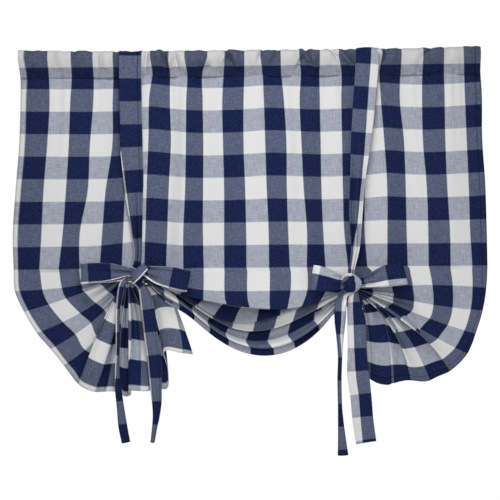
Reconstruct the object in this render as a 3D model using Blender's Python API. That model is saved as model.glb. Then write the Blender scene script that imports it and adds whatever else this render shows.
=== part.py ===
"""Tie-up window valance: a checked cloth gathered on a rod pocket and held up in two bows."""
import math

import bmesh
import bpy

# The cloth is drawn on a fine square grid; 22.8 steps of it make one check of the cloth.
check_size = 0.0508
steps_per_check = 22.8
step = check_size / steps_per_check
drawing_lean = 0.0091
rod_axis_down = 6.5

cloth_thick = 0.0010
heading_thick = 0.0011
tie_thick = 0.0020

row_first_down = 17.1
row_pitch = 22.46
stitch_row = 1.522
gather_row = 10.0
hem_row = 27.36
upper_intervals = 12
row_interval = 0.5

left_tie_column = 5.93
right_tie_column = 16.42
neck_half_columns = 0.32
neck_half_steps = 7.2
neck_fan_steps = 11.5
neck_fan_taper = 0.26
left_intervals = 6
swag_intervals = 15
right_intervals = 7

pocket_half_depth = 6.3
pocket_seam_down = 28.6
pocket_seam_half = 0.95
pocket_wave = 0.10
pocket_columns = 36
pocket_end_left = -231.0
pocket_end_right = 230.0

cloth_colour = (0.32, 0.36, 0.48, 1.0)
cloth_roughness = 0.9

# Across the cloth, a row for each edge of a check: column, place at the heading,
# place half way down, place at the gather line, and depth of the soft waves.
columns = (
    # column, top_x, mid_x, low_x, depth
    (0.00, -231.0, -233.3, -236.4, 0.5),
    (0.26, -225.0, -229.3, -232.8, 0.0),
    (1.26, -202.0, -207.0, -210.5, -1.5),
    (2.26, -179.0, -184.2, -191.0, -2.5),
    (3.26, -157.0, -163.1, -170.8, 1.0),
    (4.26, -137.0, -146.4, -149.6, 2.5),
    (5.26, -114.0, -125.6, -128.0, -1.0),
    (6.26, -100.0, -103.0, -105.7, -1.5),
    (7.26, -80.0, -81.3, -84.2, 2.0),
    (8.26, -65.0, -64.3, -65.0, -3.5),
    (9.26, -43.0, -46.2, -46.2, 2.0),
    (10.26, -26.0, -25.2, -24.9, -1.0),
    (11.26, -5.0, -4.0, -3.7, -3.0),
    (12.26, 10.0, 18.3, 19.9, -2.0),
    (13.26, 30.0, 38.3, 39.9, 2.0),
    (14.26, 49.0, 56.6, 57.1, -3.0),
    (15.26, 70.0, 73.8, 75.7, 2.5),
    (16.26, 88.0, 94.0, 98.9, -1.0),
    (17.26, 111.0, 114.8, 118.0, 1.0),
    (18.26, 129.0, 137.9, 137.9, -2.0),
    (19.26, 151.0, 157.0, 157.8, 2.0),
    (20.26, 173.0, 178.6, 178.6, 0.0),
    (21.26, 194.0, 199.3, 200.6, -2.0),
    (22.26, 213.0, 220.8, 222.4, 0.0),
    (23.01, 230.0, 237.0, 237.6, 1.0),
)

# The side edge of the cloth round each fan: row, place across, place down, depth at the
# edge, depth half way in, and how far the ray from the bow sags between.
left_fan = (
    # row, x, down, edge_y, middle_y, bow
    (10.0, -236.4, 222.0, 0.5, 0.0, 0.0),
    (11.0, -234.0, 243.0, -1.0, -1.0, 5.0),
    (12.0, -230.0, 259.0, -2.0, 0.0, 9.0),
    (13.0, -217.0, 281.0, -3.0, -1.5, 9.0),
    (14.0, -201.0, 297.0, -3.0, 0.5, 8.0),
    (15.0, -188.0, 312.0, -5.0, -1.0, 6.0),
    (15.5, -182.0, 321.0, -6.0, 2.0, 5.0),
    (16.0, -175.0, 328.0, -9.0, -6.0, 3.0),
    (17.0, -153.0, 341.0, -11.0, -5.0, 2.0),
    (17.5, -148.0, 342.0, -5.0, 1.0, 1.0),
    (18.0, -143.0, 342.0, -8.0, -2.0, 0.0),
    (19.0, -132.0, 342.0, -8.0, -3.0, 0.0),
    (19.5, -126.0, 347.0, 0.0, 3.0, 0.0),
    (20.0, -120.0, 349.0, 1.0, 3.0, 0.0),
    (20.5, -120.0, 345.0, -7.0, 0.0, 0.0),
    (21.0, -120.0, 341.0, -13.0, -4.0, 0.0),
    (22.0, -108.0, 339.0, -14.0, -4.0, -3.0),
    (23.0, -101.0, 339.0, -11.0, -2.0, -4.0),
    (23.5, -100.0, 338.0, -3.0, 2.0, -4.5),
    (24.0, -96.0, 338.0, 4.0, 4.0, -5.0),
    (24.5, -89.0, 338.0, 4.0, 4.0, -5.5),
    (25.0, -84.0, 334.0, 2.0, 2.0, -6.0),
    (25.5, -83.0, 319.0, -3.0, 0.0, -6.5),
    (26.0, -85.0, 306.0, -7.0, -3.0, -5.0),
    (27.0, -67.0, 303.0, -10.0, -5.0, -3.0),
    (27.36, -57.5, 305.0, -8.0, -3.0, -1.0),
)
right_fan = (
    # row, x, down, edge_y, middle_y, bow
    (10.0, 237.6, 219.0, 1.0, 0.0, 0.0),
    (11.0, 236.0, 240.0, -0.5, -2.0, 1.0),
    (12.0, 232.0, 263.0, -2.0, 0.0, 2.0),
    (13.0, 227.0, 283.0, -4.0, -2.0, 2.0),
    (13.5, 221.0, 295.0, -4.0, 1.0, 1.0),
    (14.0, 213.0, 306.0, -6.0, 0.0, 0.0),
    (15.0, 195.0, 322.0, -7.0, -6.0, 0.0),
    (15.5, 186.0, 327.0, -4.0, 2.0, 0.0),
    (16.0, 177.0, 330.0, -4.0, 1.0, 0.0),
    (17.0, 160.0, 332.0, -7.0, -4.0, 0.0),
    (17.5, 152.0, 334.0, -3.0, 3.0, 0.0),
    (18.0, 144.0, 335.0, -6.0, 2.0, 0.0),
    (18.5, 140.0, 333.0, 1.0, 5.0, 0.0),
    (19.0, 141.0, 336.0, -2.0, 3.0, 0.0),
    (20.0, 119.5, 329.0, -3.0, 2.0, 0.0),
    (20.5, 122.0, 325.0, 2.0, 4.0, 0.0),
    (21.0, 131.0, 323.0, 4.0, 5.0, 0.0),
    (22.0, 151.0, 322.0, 5.5, 6.5, 0.0),
    (23.0, 171.0, 317.0, 6.5, 7.5, 0.0),
    (23.5, 180.0, 312.0, 7.5, 8.5, 0.0),
    (24.0, 178.0, 311.0, 10.0, 11.0, 0.0),
    (25.0, 160.0, 318.0, 11.5, 12.0, 0.0),
    (26.0, 140.0, 321.0, 12.0, 12.5, 0.0),
    (27.0, 124.0, 322.0, 12.5, 13.0, 0.0),
    (27.36, 120.0, 322.0, 12.5, 13.0, 0.0),
)

# The swag half way between the bows: row, place down, depth, and how square the curve is
# on its left and right sides.
swag = (
    # row, down, y, left_power, right_power
    (10.0, 221.0, -1.0, 4.0, 4.0),
    (11.0, 242.0, -3.0, 3.2, 3.2),
    (11.5, 252.0, -6.0, 2.8, 3.0),
    (12.0, 260.5, -9.0, 2.6, 2.8),
    (12.5, 257.0, -3.0, 2.4, 2.8),
    (13.0, 260.0, 3.0, 2.2, 2.8),
    (13.5, 266.5, -2.0, 2.0, 2.8),
    (14.0, 272.0, -7.0, 1.9, 2.7),
    (15.0, 279.5, -3.0, 1.7, 2.6),
    (15.5, 285.0, 1.5, 1.6, 2.6),
    (16.0, 291.5, -3.0, 1.5, 2.5),
    (16.5, 295.5, -9.0, 1.4, 2.5),
    (17.0, 299.5, -12.0, 1.3, 2.5),
    (17.5, 304.5, -11.0, 1.25, 2.5),
    (18.0, 306.3, -6.0, 1.25, 2.5),
    (18.5, 304.0, 0.0, 1.25, 2.5),
    (19.0, 296.0, 4.5, 1.25, 2.5),
    (20.0, 274.0, 5.5, 1.3, 2.5),
    (20.5, 263.0, 6.5, 1.3, 2.5),
    (21.0, 260.0, 8.5, 1.3, 2.5),
    (21.5, 266.0, 9.5, 1.3, 2.5),
    (22.0, 277.0, 10.5, 1.3, 2.5),
    (23.0, 297.0, 11.5, 1.3, 2.5),
    (23.5, 301.0, 13.0, 1.3, 2.5),
    (24.0, 297.0, 15.0, 1.3, 2.5),
    (25.0, 276.0, 16.0, 1.3, 2.5),
    (25.5, 265.0, 17.0, 1.3, 2.5),
    (26.0, 262.0, 19.0, 1.3, 2.5),
    (26.5, 270.0, 20.0, 1.3, 2.5),
    (27.36, 290.0, 21.0, 1.3, 2.5),
)

# The bundle inside each bow: row, place down on the left and on the right, depth.
bundle = (
    # row, left_down, right_down, y
    (10.0, 220.6, 221.4, -1.0),
    (11.0, 224.0, 240.0, -2.0),
    (12.0, 225.4, 241.2, -3.0),
    (14.0, 228.2, 243.8, -2.5),
    (18.0, 233.0, 248.8, -0.5),
    (20.0, 235.4, 251.2, 1.0),
    (24.0, 239.6, 255.4, 4.0),
    (27.36, 243.0, 258.8, 6.0),
)

# Each tie from the heading to its free end: place across, place down, depth, width,
# turn of the width in the front plane and its tilt toward the wall, both in degrees.
tie_left_front = (
    # x, down, y, width, turn, tilt
    (-119.0, 0.8, -0.7, 21.0, 0, 0),
    (-119.0, 1.6, -5.0, 22.0, 0, 0),
    (-119.0, 6.0, -8.3, 22.0, 0, 0),
    (-118.8, 15.0, -8.6, 22.0, 0, 0),
    (-118.4, 40.0, -7.6, 22.0, 0, 0),
    (-117.8, 75.0, -7.2, 21.5, 0, 0),
    (-116.5, 110.0, -7.2, 20.0, 0, 5),
    (-114.0, 145.0, -7.8, 15.0, 0, 12),
    (-112.0, 180.0, -9.0, 10.0, 0, 20),
    (-111.2, 208.0, -11.0, 6.5, 0, 10),
    (-112.5, 219.0, -12.6, 7.0, -30, 0),
    (-117.5, 225.0, -13.0, 8.5, -75, 0),
    (-127.0, 225.5, -13.4, 13.0, -90, 0),
    (-146.0, 225.5, -14.0, 18.0, -90, 0),
    (-160.0, 224.5, -14.8, 19.5, -90, 0),
    (-165.5, 224.2, -15.6, 19.5, -90, 0),
    (-167.5, 224.0, -17.6, 19.5, -90, 0),
    (-165.5, 223.8, -19.6, 19.5, -90, 0),
    (-160.0, 223.5, -20.2, 19.5, -90, 0),
    (-146.0, 223.8, -20.8, 18.5, -90, 0),
    (-128.0, 224.4, -19.4, 13.0, -90, 0),
    (-118.0, 226.0, -17.4, 8.5, -105, 0),
    (-114.5, 230.5, -17.4, 8.0, -150, 0),
    (-117.5, 239.0, -17.4, 8.0, -195, 0),
    (-125.0, 251.0, -17.4, 8.5, -205, 0),
    (-131.0, 268.0, -17.6, 9.0, -195, 10),
    (-133.0, 292.0, -17.8, 9.5, -180, 25),
    (-131.5, 325.0, -17.6, 9.5, -180, 30),
    (-130.0, 352.0, -17.2, 9.5, -180, 20),
    (-125.0, 378.0, -17.0, 9.5, -172, 10),
    (-121.5, 393.0, -17.0, 8.5, -170, 5),
)
tie_left_back = (
    # x, down, y, width, turn, tilt
    (-119.0, 0.8, 0.7, 21.0, 0, 0),
    (-119.0, 1.6, 5.0, 22.0, 0, 0),
    (-119.0, 6.0, 8.3, 22.0, 0, 0),
    (-118.8, 15.0, 8.6, 22.0, 0, 0),
    (-118.0, 60.0, 7.4, 21.0, 0, 0),
    (-116.5, 120.0, 7.6, 18.0, 0, 0),
    (-114.0, 170.0, 8.4, 13.0, 0, 0),
    (-112.6, 208.0, 9.6, 8.0, 0, 0),
    (-112.0, 228.0, 10.4, 6.5, 0, 0),
    (-111.6, 239.5, 9.6, 5.0, 0, 0),
    (-111.4, 245.0, 6.0, 5.0, 0, 0),
    (-111.4, 246.2, -0.5, 5.0, 0, 0),
    (-111.4, 244.6, -6.4, 5.0, 0, 0),
    (-111.2, 240.0, -9.4, 6.0, 0, 0),
    (-110.8, 232.0, -9.6, 8.0, -12, 0),
    (-107.5, 226.5, -9.6, 9.0, -55, 0),
    (-99.0, 226.0, -9.8, 12.0, -90, 0),
    (-86.0, 229.0, -12.4, 16.0, -100, 0),
    (-72.0, 233.0, -15.8, 18.5, -105, 0),
    (-64.5, 233.8, -17.2, 19.5, -105, 0),
    (-61.5, 233.6, -19.5, 19.5, -105, 0),
    (-64.5, 233.0, -21.8, 19.5, -105, 0),
    (-71.0, 231.0, -23.4, 19.5, -105, 0),
    (-86.0, 224.6, -24.4, 17.0, -102, 0),
    (-100.0, 221.6, -23.6, 12.5, -92, 0),
    (-109.0, 223.0, -22.8, 11.5, -70, 0),
    (-113.4, 229.4, -22.8, 10.5, -25, 0),
    (-110.0, 238.5, -22.4, 8.5, 15, 0),
    (-105.5, 250.0, -21.8, 9.0, 15, 10),
    (-102.0, 275.0, -21.6, 10.0, 8, 25),
    (-99.5, 305.0, -21.6, 11.5, 4, 20),
    (-95.5, 335.0, -21.4, 13.0, 6, 10),
    (-91.5, 358.0, -21.2, 11.5, -6, 25),
    (-95.0, 382.0, -21.0, 8.0, -14, 30),
    (-98.0, 392.0, -21.0, 5.0, -14, 30),
)
tie_right_front = (
    # x, down, y, width, turn, tilt
    (118.5, -1.4, -0.7, 24.0, 0, 0),
    (118.5, -0.6, -5.0, 25.5, 0, 0),
    (118.2, 3.8, -8.3, 26.0, 0, 0),
    (117.6, 13.0, -8.6, 25.5, 0, 0),
    (115.6, 38.0, -7.8, 23.5, 0, 0),
    (113.2, 65.0, -7.4, 22.0, 0, 0),
    (110.4, 100.0, -7.4, 19.5, 0, -5),
    (107.4, 140.0, -8.0, 16.0, 0, -15),
    (104.8, 180.0, -9.0, 12.0, 0, -20),
    (103.0, 214.0, -11.0, 8.0, 0, -10),
    (103.0, 229.0, -12.6, 7.5, 30, 0),
    (108.0, 236.0, -13.0, 9.0, 70, 0),
    (117.0, 234.6, -13.4, 12.0, 98, 0),
    (130.0, 230.6, -14.0, 15.5, 102, 0),
    (143.0, 226.6, -14.8, 16.5, 102, 0),
    (149.5, 225.2, -15.7, 16.5, 100, 0),
    (151.8, 225.0, -17.8, 16.5, 100, 0),
    (149.5, 224.8, -19.9, 16.5, 100, 0),
    (143.0, 223.4, -20.2, 16.0, 98, 0),
    (130.0, 226.4, -20.8, 14.5, 100, 0),
    (117.0, 232.0, -19.4, 11.5, 105, 0),
    (107.5, 236.6, -17.6, 9.0, 115, 0),
    (103.0, 243.0, -17.4, 9.0, 150, 0),
    (103.5, 253.0, -17.4, 12.5, 178, 0),
    (106.5, 272.0, -17.6, 18.0, 180, 0),
    (108.2, 300.0, -17.8, 22.5, 180, 0),
    (108.8, 332.0, -17.8, 25.0, 180, 0),
    (111.0, 362.0, -17.6, 24.0, 182, 0),
    (114.5, 386.0, -17.4, 20.0, 184, 8),
    (116.0, 395.0, -17.2, 17.0, 186, 10),
)
tie_right_back = (
    # x, down, y, width, turn, tilt
    (118.5, -1.4, 0.7, 24.0, 0, 0),
    (118.5, -0.6, 5.0, 25.0, 0, 0),
    (118.2, 3.8, 8.3, 25.0, 0, 0),
    (117.6, 13.0, 8.6, 24.0, 0, 0),
    (113.6, 60.0, 7.4, 21.0, 0, 0),
    (108.8, 120.0, 7.6, 17.0, 0, 0),
    (104.6, 180.0, 8.4, 12.0, 0, 0),
    (102.4, 220.0, 9.6, 8.0, 0, 0),
    (102.0, 244.0, 10.4, 6.5, 0, 0),
    (102.0, 258.0, 9.6, 6.0, 0, 0),
    (102.0, 263.6, 5.0, 6.0, 0, 0),
    (102.0, 264.8, -1.0, 6.0, 0, 0),
    (102.0, 262.8, -6.6, 6.0, 0, 0),
    (101.8, 256.0, -9.4, 6.5, 0, 0),
    (100.6, 247.0, -9.6, 8.0, 12, 0),
    (96.0, 240.6, -9.6, 9.0, 55, 0),
    (88.0, 239.0, -9.8, 11.5, 84, 0),
    (78.0, 237.0, -12.4, 14.5, 84, 0),
    (69.0, 234.4, -15.8, 16.5, 82, 0),
    (63.8, 230.8, -17.0, 16.0, 80, 0),
    (61.2, 230.4, -19.2, 16.0, 80, 0),
    (63.8, 230.0, -21.4, 16.0, 80, 0),
    (69.5, 229.4, -23.0, 14.5, 78, 0),
    (79.0, 230.2, -23.8, 13.5, 72, 0),
    (89.0, 235.2, -23.2, 12.0, 62, 0),
    (97.5, 240.4, -22.8, 12.5, 45, 0),
    (98.6, 247.6, -22.8, 11.0, 8, 0),
    (94.0, 256.0, -22.4, 7.5, -22, 0),
    (89.5, 270.0, -21.8, 7.0, -12, 10),
    (87.0, 292.0, -21.6, 7.0, 2, 25),
    (89.6, 322.0, -21.4, 6.5, 4, 30),
    (88.4, 352.0, -21.2, 6.5, -2, 30),
    (90.0, 380.0, -21.0, 7.5, 3, 15),
    (92.0, 406.0, -20.8, 9.0, 4, 5),
)
tie_samples_per_station = 2


def clear_scene():
    for old in list(bpy.data.objects):
        bpy.data.objects.remove(old, do_unlink=True)


def place(across, down, depth):
    """Turns a point of the drawing into metres, with the rod level and its axis at zero."""
    level_x = across - drawing_lean * down
    level_down = down + drawing_lean * across
    return (level_x * step, depth * step, (rod_axis_down - level_down) * step)


def interpolated(table, key, field):
    """The value of one column of a table at a row or column of the cloth."""
    for low, high in zip(table, table[1:]):
        if key <= high[0]:
            share = (key - low[0]) / (high[0] - low[0])
            share = min(max(share, 0.0), 1.0)
            return low[field] + share * (high[field] - low[field])
    return table[-1][field]


def blend(first, second, share):
    return tuple(a + share * (b - a) for a, b in zip(first, second))


def gather_x(column):
    return interpolated(columns, column, 3)


def upper_point(column, row):
    """A point of the cloth between the heading and the gather line, in drawing steps."""
    down = row_first_down + row_pitch * (row - 1.0)
    middle_down = 152.0
    low_down = row_first_down + row_pitch * (gather_row - 1.0)
    top_x = interpolated(columns, column, 1)
    mid_x = interpolated(columns, column, 2)
    low_x = gather_x(column)
    if down < middle_down:
        x = top_x + (mid_x - top_x) * down / middle_down
    else:
        x = mid_x + (low_x - mid_x) * (down - middle_down) / (low_down - middle_down)
    fullness = min(1.0, 0.25 + down / middle_down)
    depth = interpolated(columns, column, 4) * fullness
    return (x, down - drawing_lean * x, depth)


def bundle_point(side, row, offset):
    """A point of the cloth where it passes through one bow."""
    field = 1 if side == "left" else 2
    tie_column = left_tie_column if side == "left" else right_tie_column
    fan_side = offset < 0.0 if side == "left" else offset > 0.0
    half = neck_fan_steps - neck_fan_taper * (row - gather_row) if fan_side else neck_half_steps
    x = gather_x(tie_column) + offset * half
    return (x, interpolated(bundle, row, field), interpolated(bundle, row, 3))


def fan_point(side, column, row):
    """A point of one fan, on the ray from its bow to the side edge of the cloth."""
    table = left_fan if side == "left" else right_fan
    if side == "left":
        root = bundle_point(side, row, -1.0)
        inner = left_tie_column - neck_half_columns
        outer = 0.0
    else:
        root = bundle_point(side, row, 1.0)
        inner = right_tie_column + neck_half_columns
        outer = columns[-1][0]
    share = (gather_x(column) - gather_x(inner)) / (gather_x(outer) - gather_x(inner))
    edge = tuple(interpolated(table, row, field) for field in (1, 2, 3))
    middle_y = interpolated(table, row, 4)
    bow = interpolated(table, row, 5)
    x, down, depth = blend(root, edge, share)
    arch = 4.0 * share * (1.0 - share)
    straight_y = (root[2] + edge[2]) / 2.0
    run_x = edge[0] - root[0]
    run_down = edge[1] - root[1]
    length = math.hypot(run_x, run_down)
    turn = 1.0 if side == "left" else -1.0
    x += turn * bow * arch * run_down / length
    down -= turn * bow * arch * run_x / length
    depth += arch * (middle_y - straight_y)
    return (x, down, depth)


def swag_point(column, row):
    """A point of the swag that hangs between the two bows."""
    left = bundle_point("left", row, 1.0)
    right = bundle_point("right", row, -1.0)
    start = gather_x(left_tie_column + neck_half_columns)
    finish = gather_x(right_tie_column - neck_half_columns)
    share = (gather_x(column) - start) / (finish - start)
    across = blend(left, right, share)
    middle_down = interpolated(swag, row, 1)
    middle_y = interpolated(swag, row, 2)
    power = interpolated(swag, row, 3 if share < 0.5 else 4)
    hang = 1.0 - abs(2.0 * share - 1.0) ** power
    chord_down = (left[1] + right[1]) / 2.0
    down = across[1] + hang * (middle_down - chord_down)
    chord_y = (left[2] + right[2]) / 2.0
    depth = across[2] + hang * (middle_y - chord_y)
    return (across[0], down, depth)


def cloth_point(column, row):
    if row <= gather_row:
        return upper_point(column, row)
    left_in = left_tie_column - neck_half_columns
    left_out = left_tie_column + neck_half_columns
    right_in = right_tie_column - neck_half_columns
    right_out = right_tie_column + neck_half_columns
    if column <= left_in:
        return fan_point("left", column, row)
    if column < left_out:
        return bundle_point("left", row, (column - left_tie_column) / neck_half_columns)
    if column <= right_in:
        return swag_point(column, row)
    if column < right_out:
        return bundle_point("right", row, (column - right_tie_column) / neck_half_columns)
    return fan_point("right", column, row)


def spread(first, last, intervals):
    return [first + (last - first) * i / intervals for i in range(intervals + 1)]


def subtract(a, b):
    return (a[0] - b[0], a[1] - b[1], a[2] - b[2])


def cross(a, b):
    return (
        a[1] * b[2] - a[2] * b[1],
        a[2] * b[0] - a[0] * b[2],
        a[0] * b[1] - a[1] * b[0],
    )


def unit(a):
    size = math.sqrt(a[0] ** 2 + a[1] ** 2 + a[2] ** 2)
    return (a[0] / size, a[1] / size, a[2] / size) if size > 1e-12 else (0.0, 0.0, 0.0)


def offset_normal(points, i, j):
    """The normal of a grid of points at one of them, leaning no further than a fold allows."""
    last_i = len(points) - 1
    last_j = len(points[0]) - 1
    here = points[i][j]
    faces = []
    for step_i, step_j in ((1, 1), (-1, 1), (-1, -1), (1, -1)):
        if 0 <= i + step_i <= last_i and 0 <= j + step_j <= last_j:
            along = subtract(points[i + step_i][j], here)
            across = subtract(points[i][j + step_j], here)
            sign = step_i * step_j
            normal = unit(cross(along, across))
            faces.append((normal[0] * sign, normal[1] * sign, normal[2] * sign))
    total = unit(tuple(sum(face[axis] for face in faces) for axis in range(3)))
    return total


def sheet_mesh(name, points, thickness):
    """Closes a grid of points into one thin sheet of cloth."""
    mesh = bpy.data.meshes.new(name)
    shape = bmesh.new()
    rows = range(len(points))
    cols = range(len(points[0]))
    front = []
    back = []
    for i in rows:
        front.append([])
        back.append([])
        for j in cols:
            normal = offset_normal(points, i, j)
            here = points[i][j]
            half = thickness / 2.0
            front[i].append(shape.verts.new([here[k] + normal[k] * half for k in range(3)]))
            back[i].append(shape.verts.new([here[k] - normal[k] * half for k in range(3)]))
    for i in rows[:-1]:
        for j in cols[:-1]:
            shape.faces.new((front[i][j], front[i + 1][j], front[i + 1][j + 1], front[i][j + 1]))
            shape.faces.new((back[i][j], back[i][j + 1], back[i + 1][j + 1], back[i + 1][j]))
    for i in rows[:-1]:
        for j in (0, len(points[0]) - 1):
            shape.faces.new((front[i][j], back[i][j], back[i + 1][j], front[i + 1][j]))
    for j in cols[:-1]:
        for i in (0, len(points) - 1):
            shape.faces.new((front[i][j], front[i][j + 1], back[i][j + 1], back[i][j]))
    bmesh.ops.recalc_face_normals(shape, faces=shape.faces)
    shape.to_mesh(mesh)
    shape.free()
    return mesh


def add_object(name, mesh):
    obj = bpy.data.objects.new(name, mesh)
    bpy.context.scene.collection.objects.link(obj)
    material = bpy.data.materials.new(name + "_cloth")
    material.use_nodes = True
    shader = material.node_tree.nodes["Principled BSDF"]
    shader.inputs["Base Color"].default_value = cloth_colour
    shader.inputs["Roughness"].default_value = cloth_roughness
    shader.inputs["Metallic"].default_value = 0.0
    mesh.materials.append(material)
    return obj


def make_panel():
    left_in = left_tie_column - neck_half_columns
    left_out = left_tie_column + neck_half_columns
    right_in = right_tie_column - neck_half_columns
    right_out = right_tie_column + neck_half_columns
    across = spread(0.0, left_in, left_intervals)
    across += spread(left_out, right_in, swag_intervals)
    across += spread(right_out, columns[-1][0], right_intervals)
    rows = spread(stitch_row, gather_row, upper_intervals)
    whole = math.floor((hem_row - gather_row) / row_interval)
    rows += spread(gather_row, gather_row + whole * row_interval, whole)[1:] + [hem_row]
    points = [[place(*cloth_point(column, row)) for column in across] for row in rows]
    add_object("panel", sheet_mesh("panel", points, cloth_thick))


def pocket_section(inset, seam_down):
    """One loop of the rod pocket: half depth and place down, from the front seam over the top."""
    side = []
    straight = spread(seam_down, rod_axis_down, 4)
    for down in straight:
        share = (pocket_seam_down - down) / (pocket_seam_down - rod_axis_down)
        bulge = math.sin(share * math.pi / 2.0) ** 1.2 if share > 0 else 0.0
        side.append((pocket_seam_half + (pocket_half_depth - pocket_seam_half) * bulge - inset, down))
    arc = spread(0.0, math.pi, 6)[1:-1]
    radius = pocket_half_depth - inset
    top = [(radius * math.cos(a), rod_axis_down - radius * math.sin(a)) for a in arc]
    front = [(-half, down) for half, down in side]
    over = [(-half, down) for half, down in top]
    rear = [(half, down) for half, down in reversed(side)]
    return front + over + rear


def make_heading():
    """The rod pocket: a flat tube, open at both ends, gathered in soft waves."""
    wall = heading_thick / step
    outer = pocket_section(0.0, pocket_seam_down)
    inner = pocket_section(wall, pocket_seam_down - 2.4 * wall)
    mesh = bpy.data.meshes.new("heading")
    shape = bmesh.new()
    rings = []
    for x in spread(pocket_end_left, pocket_end_right, pocket_columns):
        wave = 1.0 + pocket_wave * math.sin(x * 0.21) + 0.5 * pocket_wave * math.sin(x * 0.37 + 1.0)
        loops = []
        for section in (outer, inner):
            loop = [shape.verts.new(place(x, down - drawing_lean * x, half * wave)) for half, down in section]
            loops.append(loop)
        rings.append(loops)
    count = len(outer)
    for before, after in zip(rings, rings[1:]):
        for loop in (0, 1):
            for k in range(count):
                n = (k + 1) % count
                shape.faces.new((before[loop][k], before[loop][n], after[loop][n], after[loop][k]))
    for ring in (rings[0], rings[-1]):
        for k in range(count):
            n = (k + 1) % count
            shape.faces.new((ring[0][k], ring[0][n], ring[1][n], ring[1][k]))
    bmesh.ops.recalc_face_normals(shape, faces=shape.faces)
    shape.to_mesh(mesh)
    shape.free()
    add_object("heading", mesh)


def curve_through(a, b, c, d, share):
    """A smooth curve through the stations b and c, for every column of the table."""
    out = []
    for p, q, r, s in zip(a, b, c, d):
        slope_q = (r - p) / 2.0
        slope_r = (s - q) / 2.0
        t2 = share * share
        t3 = t2 * share
        out.append(
            (2 * t3 - 3 * t2 + 1) * q
            + (t3 - 2 * t2 + share) * slope_q
            + (3 * t2 - 2 * t3) * r
            + (t3 - t2) * slope_r
        )
    return out


def tie_stations(table):
    found = []
    last = len(table) - 1
    for i in range(last):
        a = table[max(i - 1, 0)]
        d = table[min(i + 2, last)]
        for k in range(tie_samples_per_station):
            found.append(curve_through(a, table[i], table[i + 1], d, k / tie_samples_per_station))
    found.append(list(table[-1]))
    return found


def make_tie(name, table):
    """One tie: a flat strip of cloth along its path from the heading to its free end."""
    stations = tie_stations(table)
    centres = [place(s[0], s[1], s[2]) for s in stations]
    mesh = bpy.data.meshes.new(name)
    shape = bmesh.new()
    rings = []
    for i, station in enumerate(stations):
        before = centres[max(i - 1, 0)]
        after = centres[min(i + 1, len(centres) - 1)]
        forward = unit(subtract(after, before))
        turn = math.radians(station[4])
        tilt = math.radians(station[5])
        width = (math.cos(turn) * math.cos(tilt), math.sin(tilt), math.sin(turn) * math.cos(tilt))
        lean = sum(width[k] * forward[k] for k in range(3))
        width = unit(tuple(width[k] - lean * forward[k] for k in range(3)))
        normal = cross(forward, width)
        half_width = station[3] * step / 2.0
        half_thick = tie_thick / 2.0
        corners = ((-1, -1), (1, -1), (1, 1), (-1, 1))
        ring = []
        for across, out in corners:
            point = [
                centres[i][k] + width[k] * across * half_width + normal[k] * out * half_thick
                for k in range(3)
            ]
            ring.append(shape.verts.new(point))
        rings.append(ring)
    for before, after in zip(rings, rings[1:]):
        for k in range(4):
            n = (k + 1) % 4
            shape.faces.new((before[k], before[n], after[n], after[k]))
    shape.faces.new(rings[0])
    shape.faces.new(tuple(reversed(rings[-1])))
    bmesh.ops.recalc_face_normals(shape, faces=shape.faces)
    shape.to_mesh(mesh)
    shape.free()
    add_object(name, mesh)


clear_scene()
make_heading()
make_panel()
make_tie("tie_left_front", tie_left_front)
make_tie("tie_left_back", tie_left_back)
make_tie("tie_right_front", tie_right_front)
make_tie("tie_right_back", tie_right_back)
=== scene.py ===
import math

import bpy
import numpy as np
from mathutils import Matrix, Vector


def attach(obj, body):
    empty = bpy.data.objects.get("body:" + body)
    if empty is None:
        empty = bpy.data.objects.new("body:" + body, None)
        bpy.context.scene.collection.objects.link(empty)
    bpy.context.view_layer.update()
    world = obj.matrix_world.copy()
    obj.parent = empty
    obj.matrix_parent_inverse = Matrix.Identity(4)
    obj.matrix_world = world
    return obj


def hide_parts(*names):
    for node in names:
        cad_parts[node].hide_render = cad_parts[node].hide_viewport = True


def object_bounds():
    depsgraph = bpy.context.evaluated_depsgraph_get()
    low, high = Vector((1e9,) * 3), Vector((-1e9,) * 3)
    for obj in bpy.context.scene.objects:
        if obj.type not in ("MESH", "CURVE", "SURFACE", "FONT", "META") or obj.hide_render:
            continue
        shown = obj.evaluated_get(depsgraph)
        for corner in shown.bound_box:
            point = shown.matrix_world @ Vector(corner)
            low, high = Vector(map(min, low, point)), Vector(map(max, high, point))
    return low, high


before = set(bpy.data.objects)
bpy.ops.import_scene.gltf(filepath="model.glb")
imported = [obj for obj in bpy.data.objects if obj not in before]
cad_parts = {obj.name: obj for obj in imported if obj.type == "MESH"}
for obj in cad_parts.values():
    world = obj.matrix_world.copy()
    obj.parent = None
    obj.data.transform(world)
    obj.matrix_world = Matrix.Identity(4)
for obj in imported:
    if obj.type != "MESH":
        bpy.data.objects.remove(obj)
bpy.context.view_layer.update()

# The cloth that every piece is cut from. Its columns are counted in checks from the left
# side edge, and its rows from the top edge of the pocket.
cloth = {
    "checkSize": 0.0508,  # one check, two inches
    "stepsPerCheck": 22.8,
    "drawingLean": 0.0091,  # the rod leans this much in the drawing and is set level here
    "rodAxisDown": 6.5,
    "thickness": 0.0009,
    "checksAcross": 23.01,
    "darkFrom": 0.26,  # the first dark column starts here
    "stitchRow": 1.522,  # where the pocket is sewn to the rest
    "gatherRow": 10.0,  # where the bows take hold of the cloth
    "hemRow": 27.36,
    "firstRowDown": 17.1,
    "rowPitch": 22.46,
}
step = cloth["checkSize"] / cloth["stepsPerCheck"]


def place(across, down, depth):  # points of the drawing, in metres
    levelX = across - cloth["drawingLean"] * down
    levelDown = down + cloth["drawingLean"] * across
    return np.stack([levelX * step, depth * step, (cloth["rodAxisDown"] - levelDown) * step], axis=-1)


def cubicWeights(share):  # of the start, the slope there, the end and the slope there
    square, cube = share**2, share**3
    return 2 * cube - 3 * square + 1, cube - 2 * square + share, 3 * square - 2 * cube, cube - square


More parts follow.
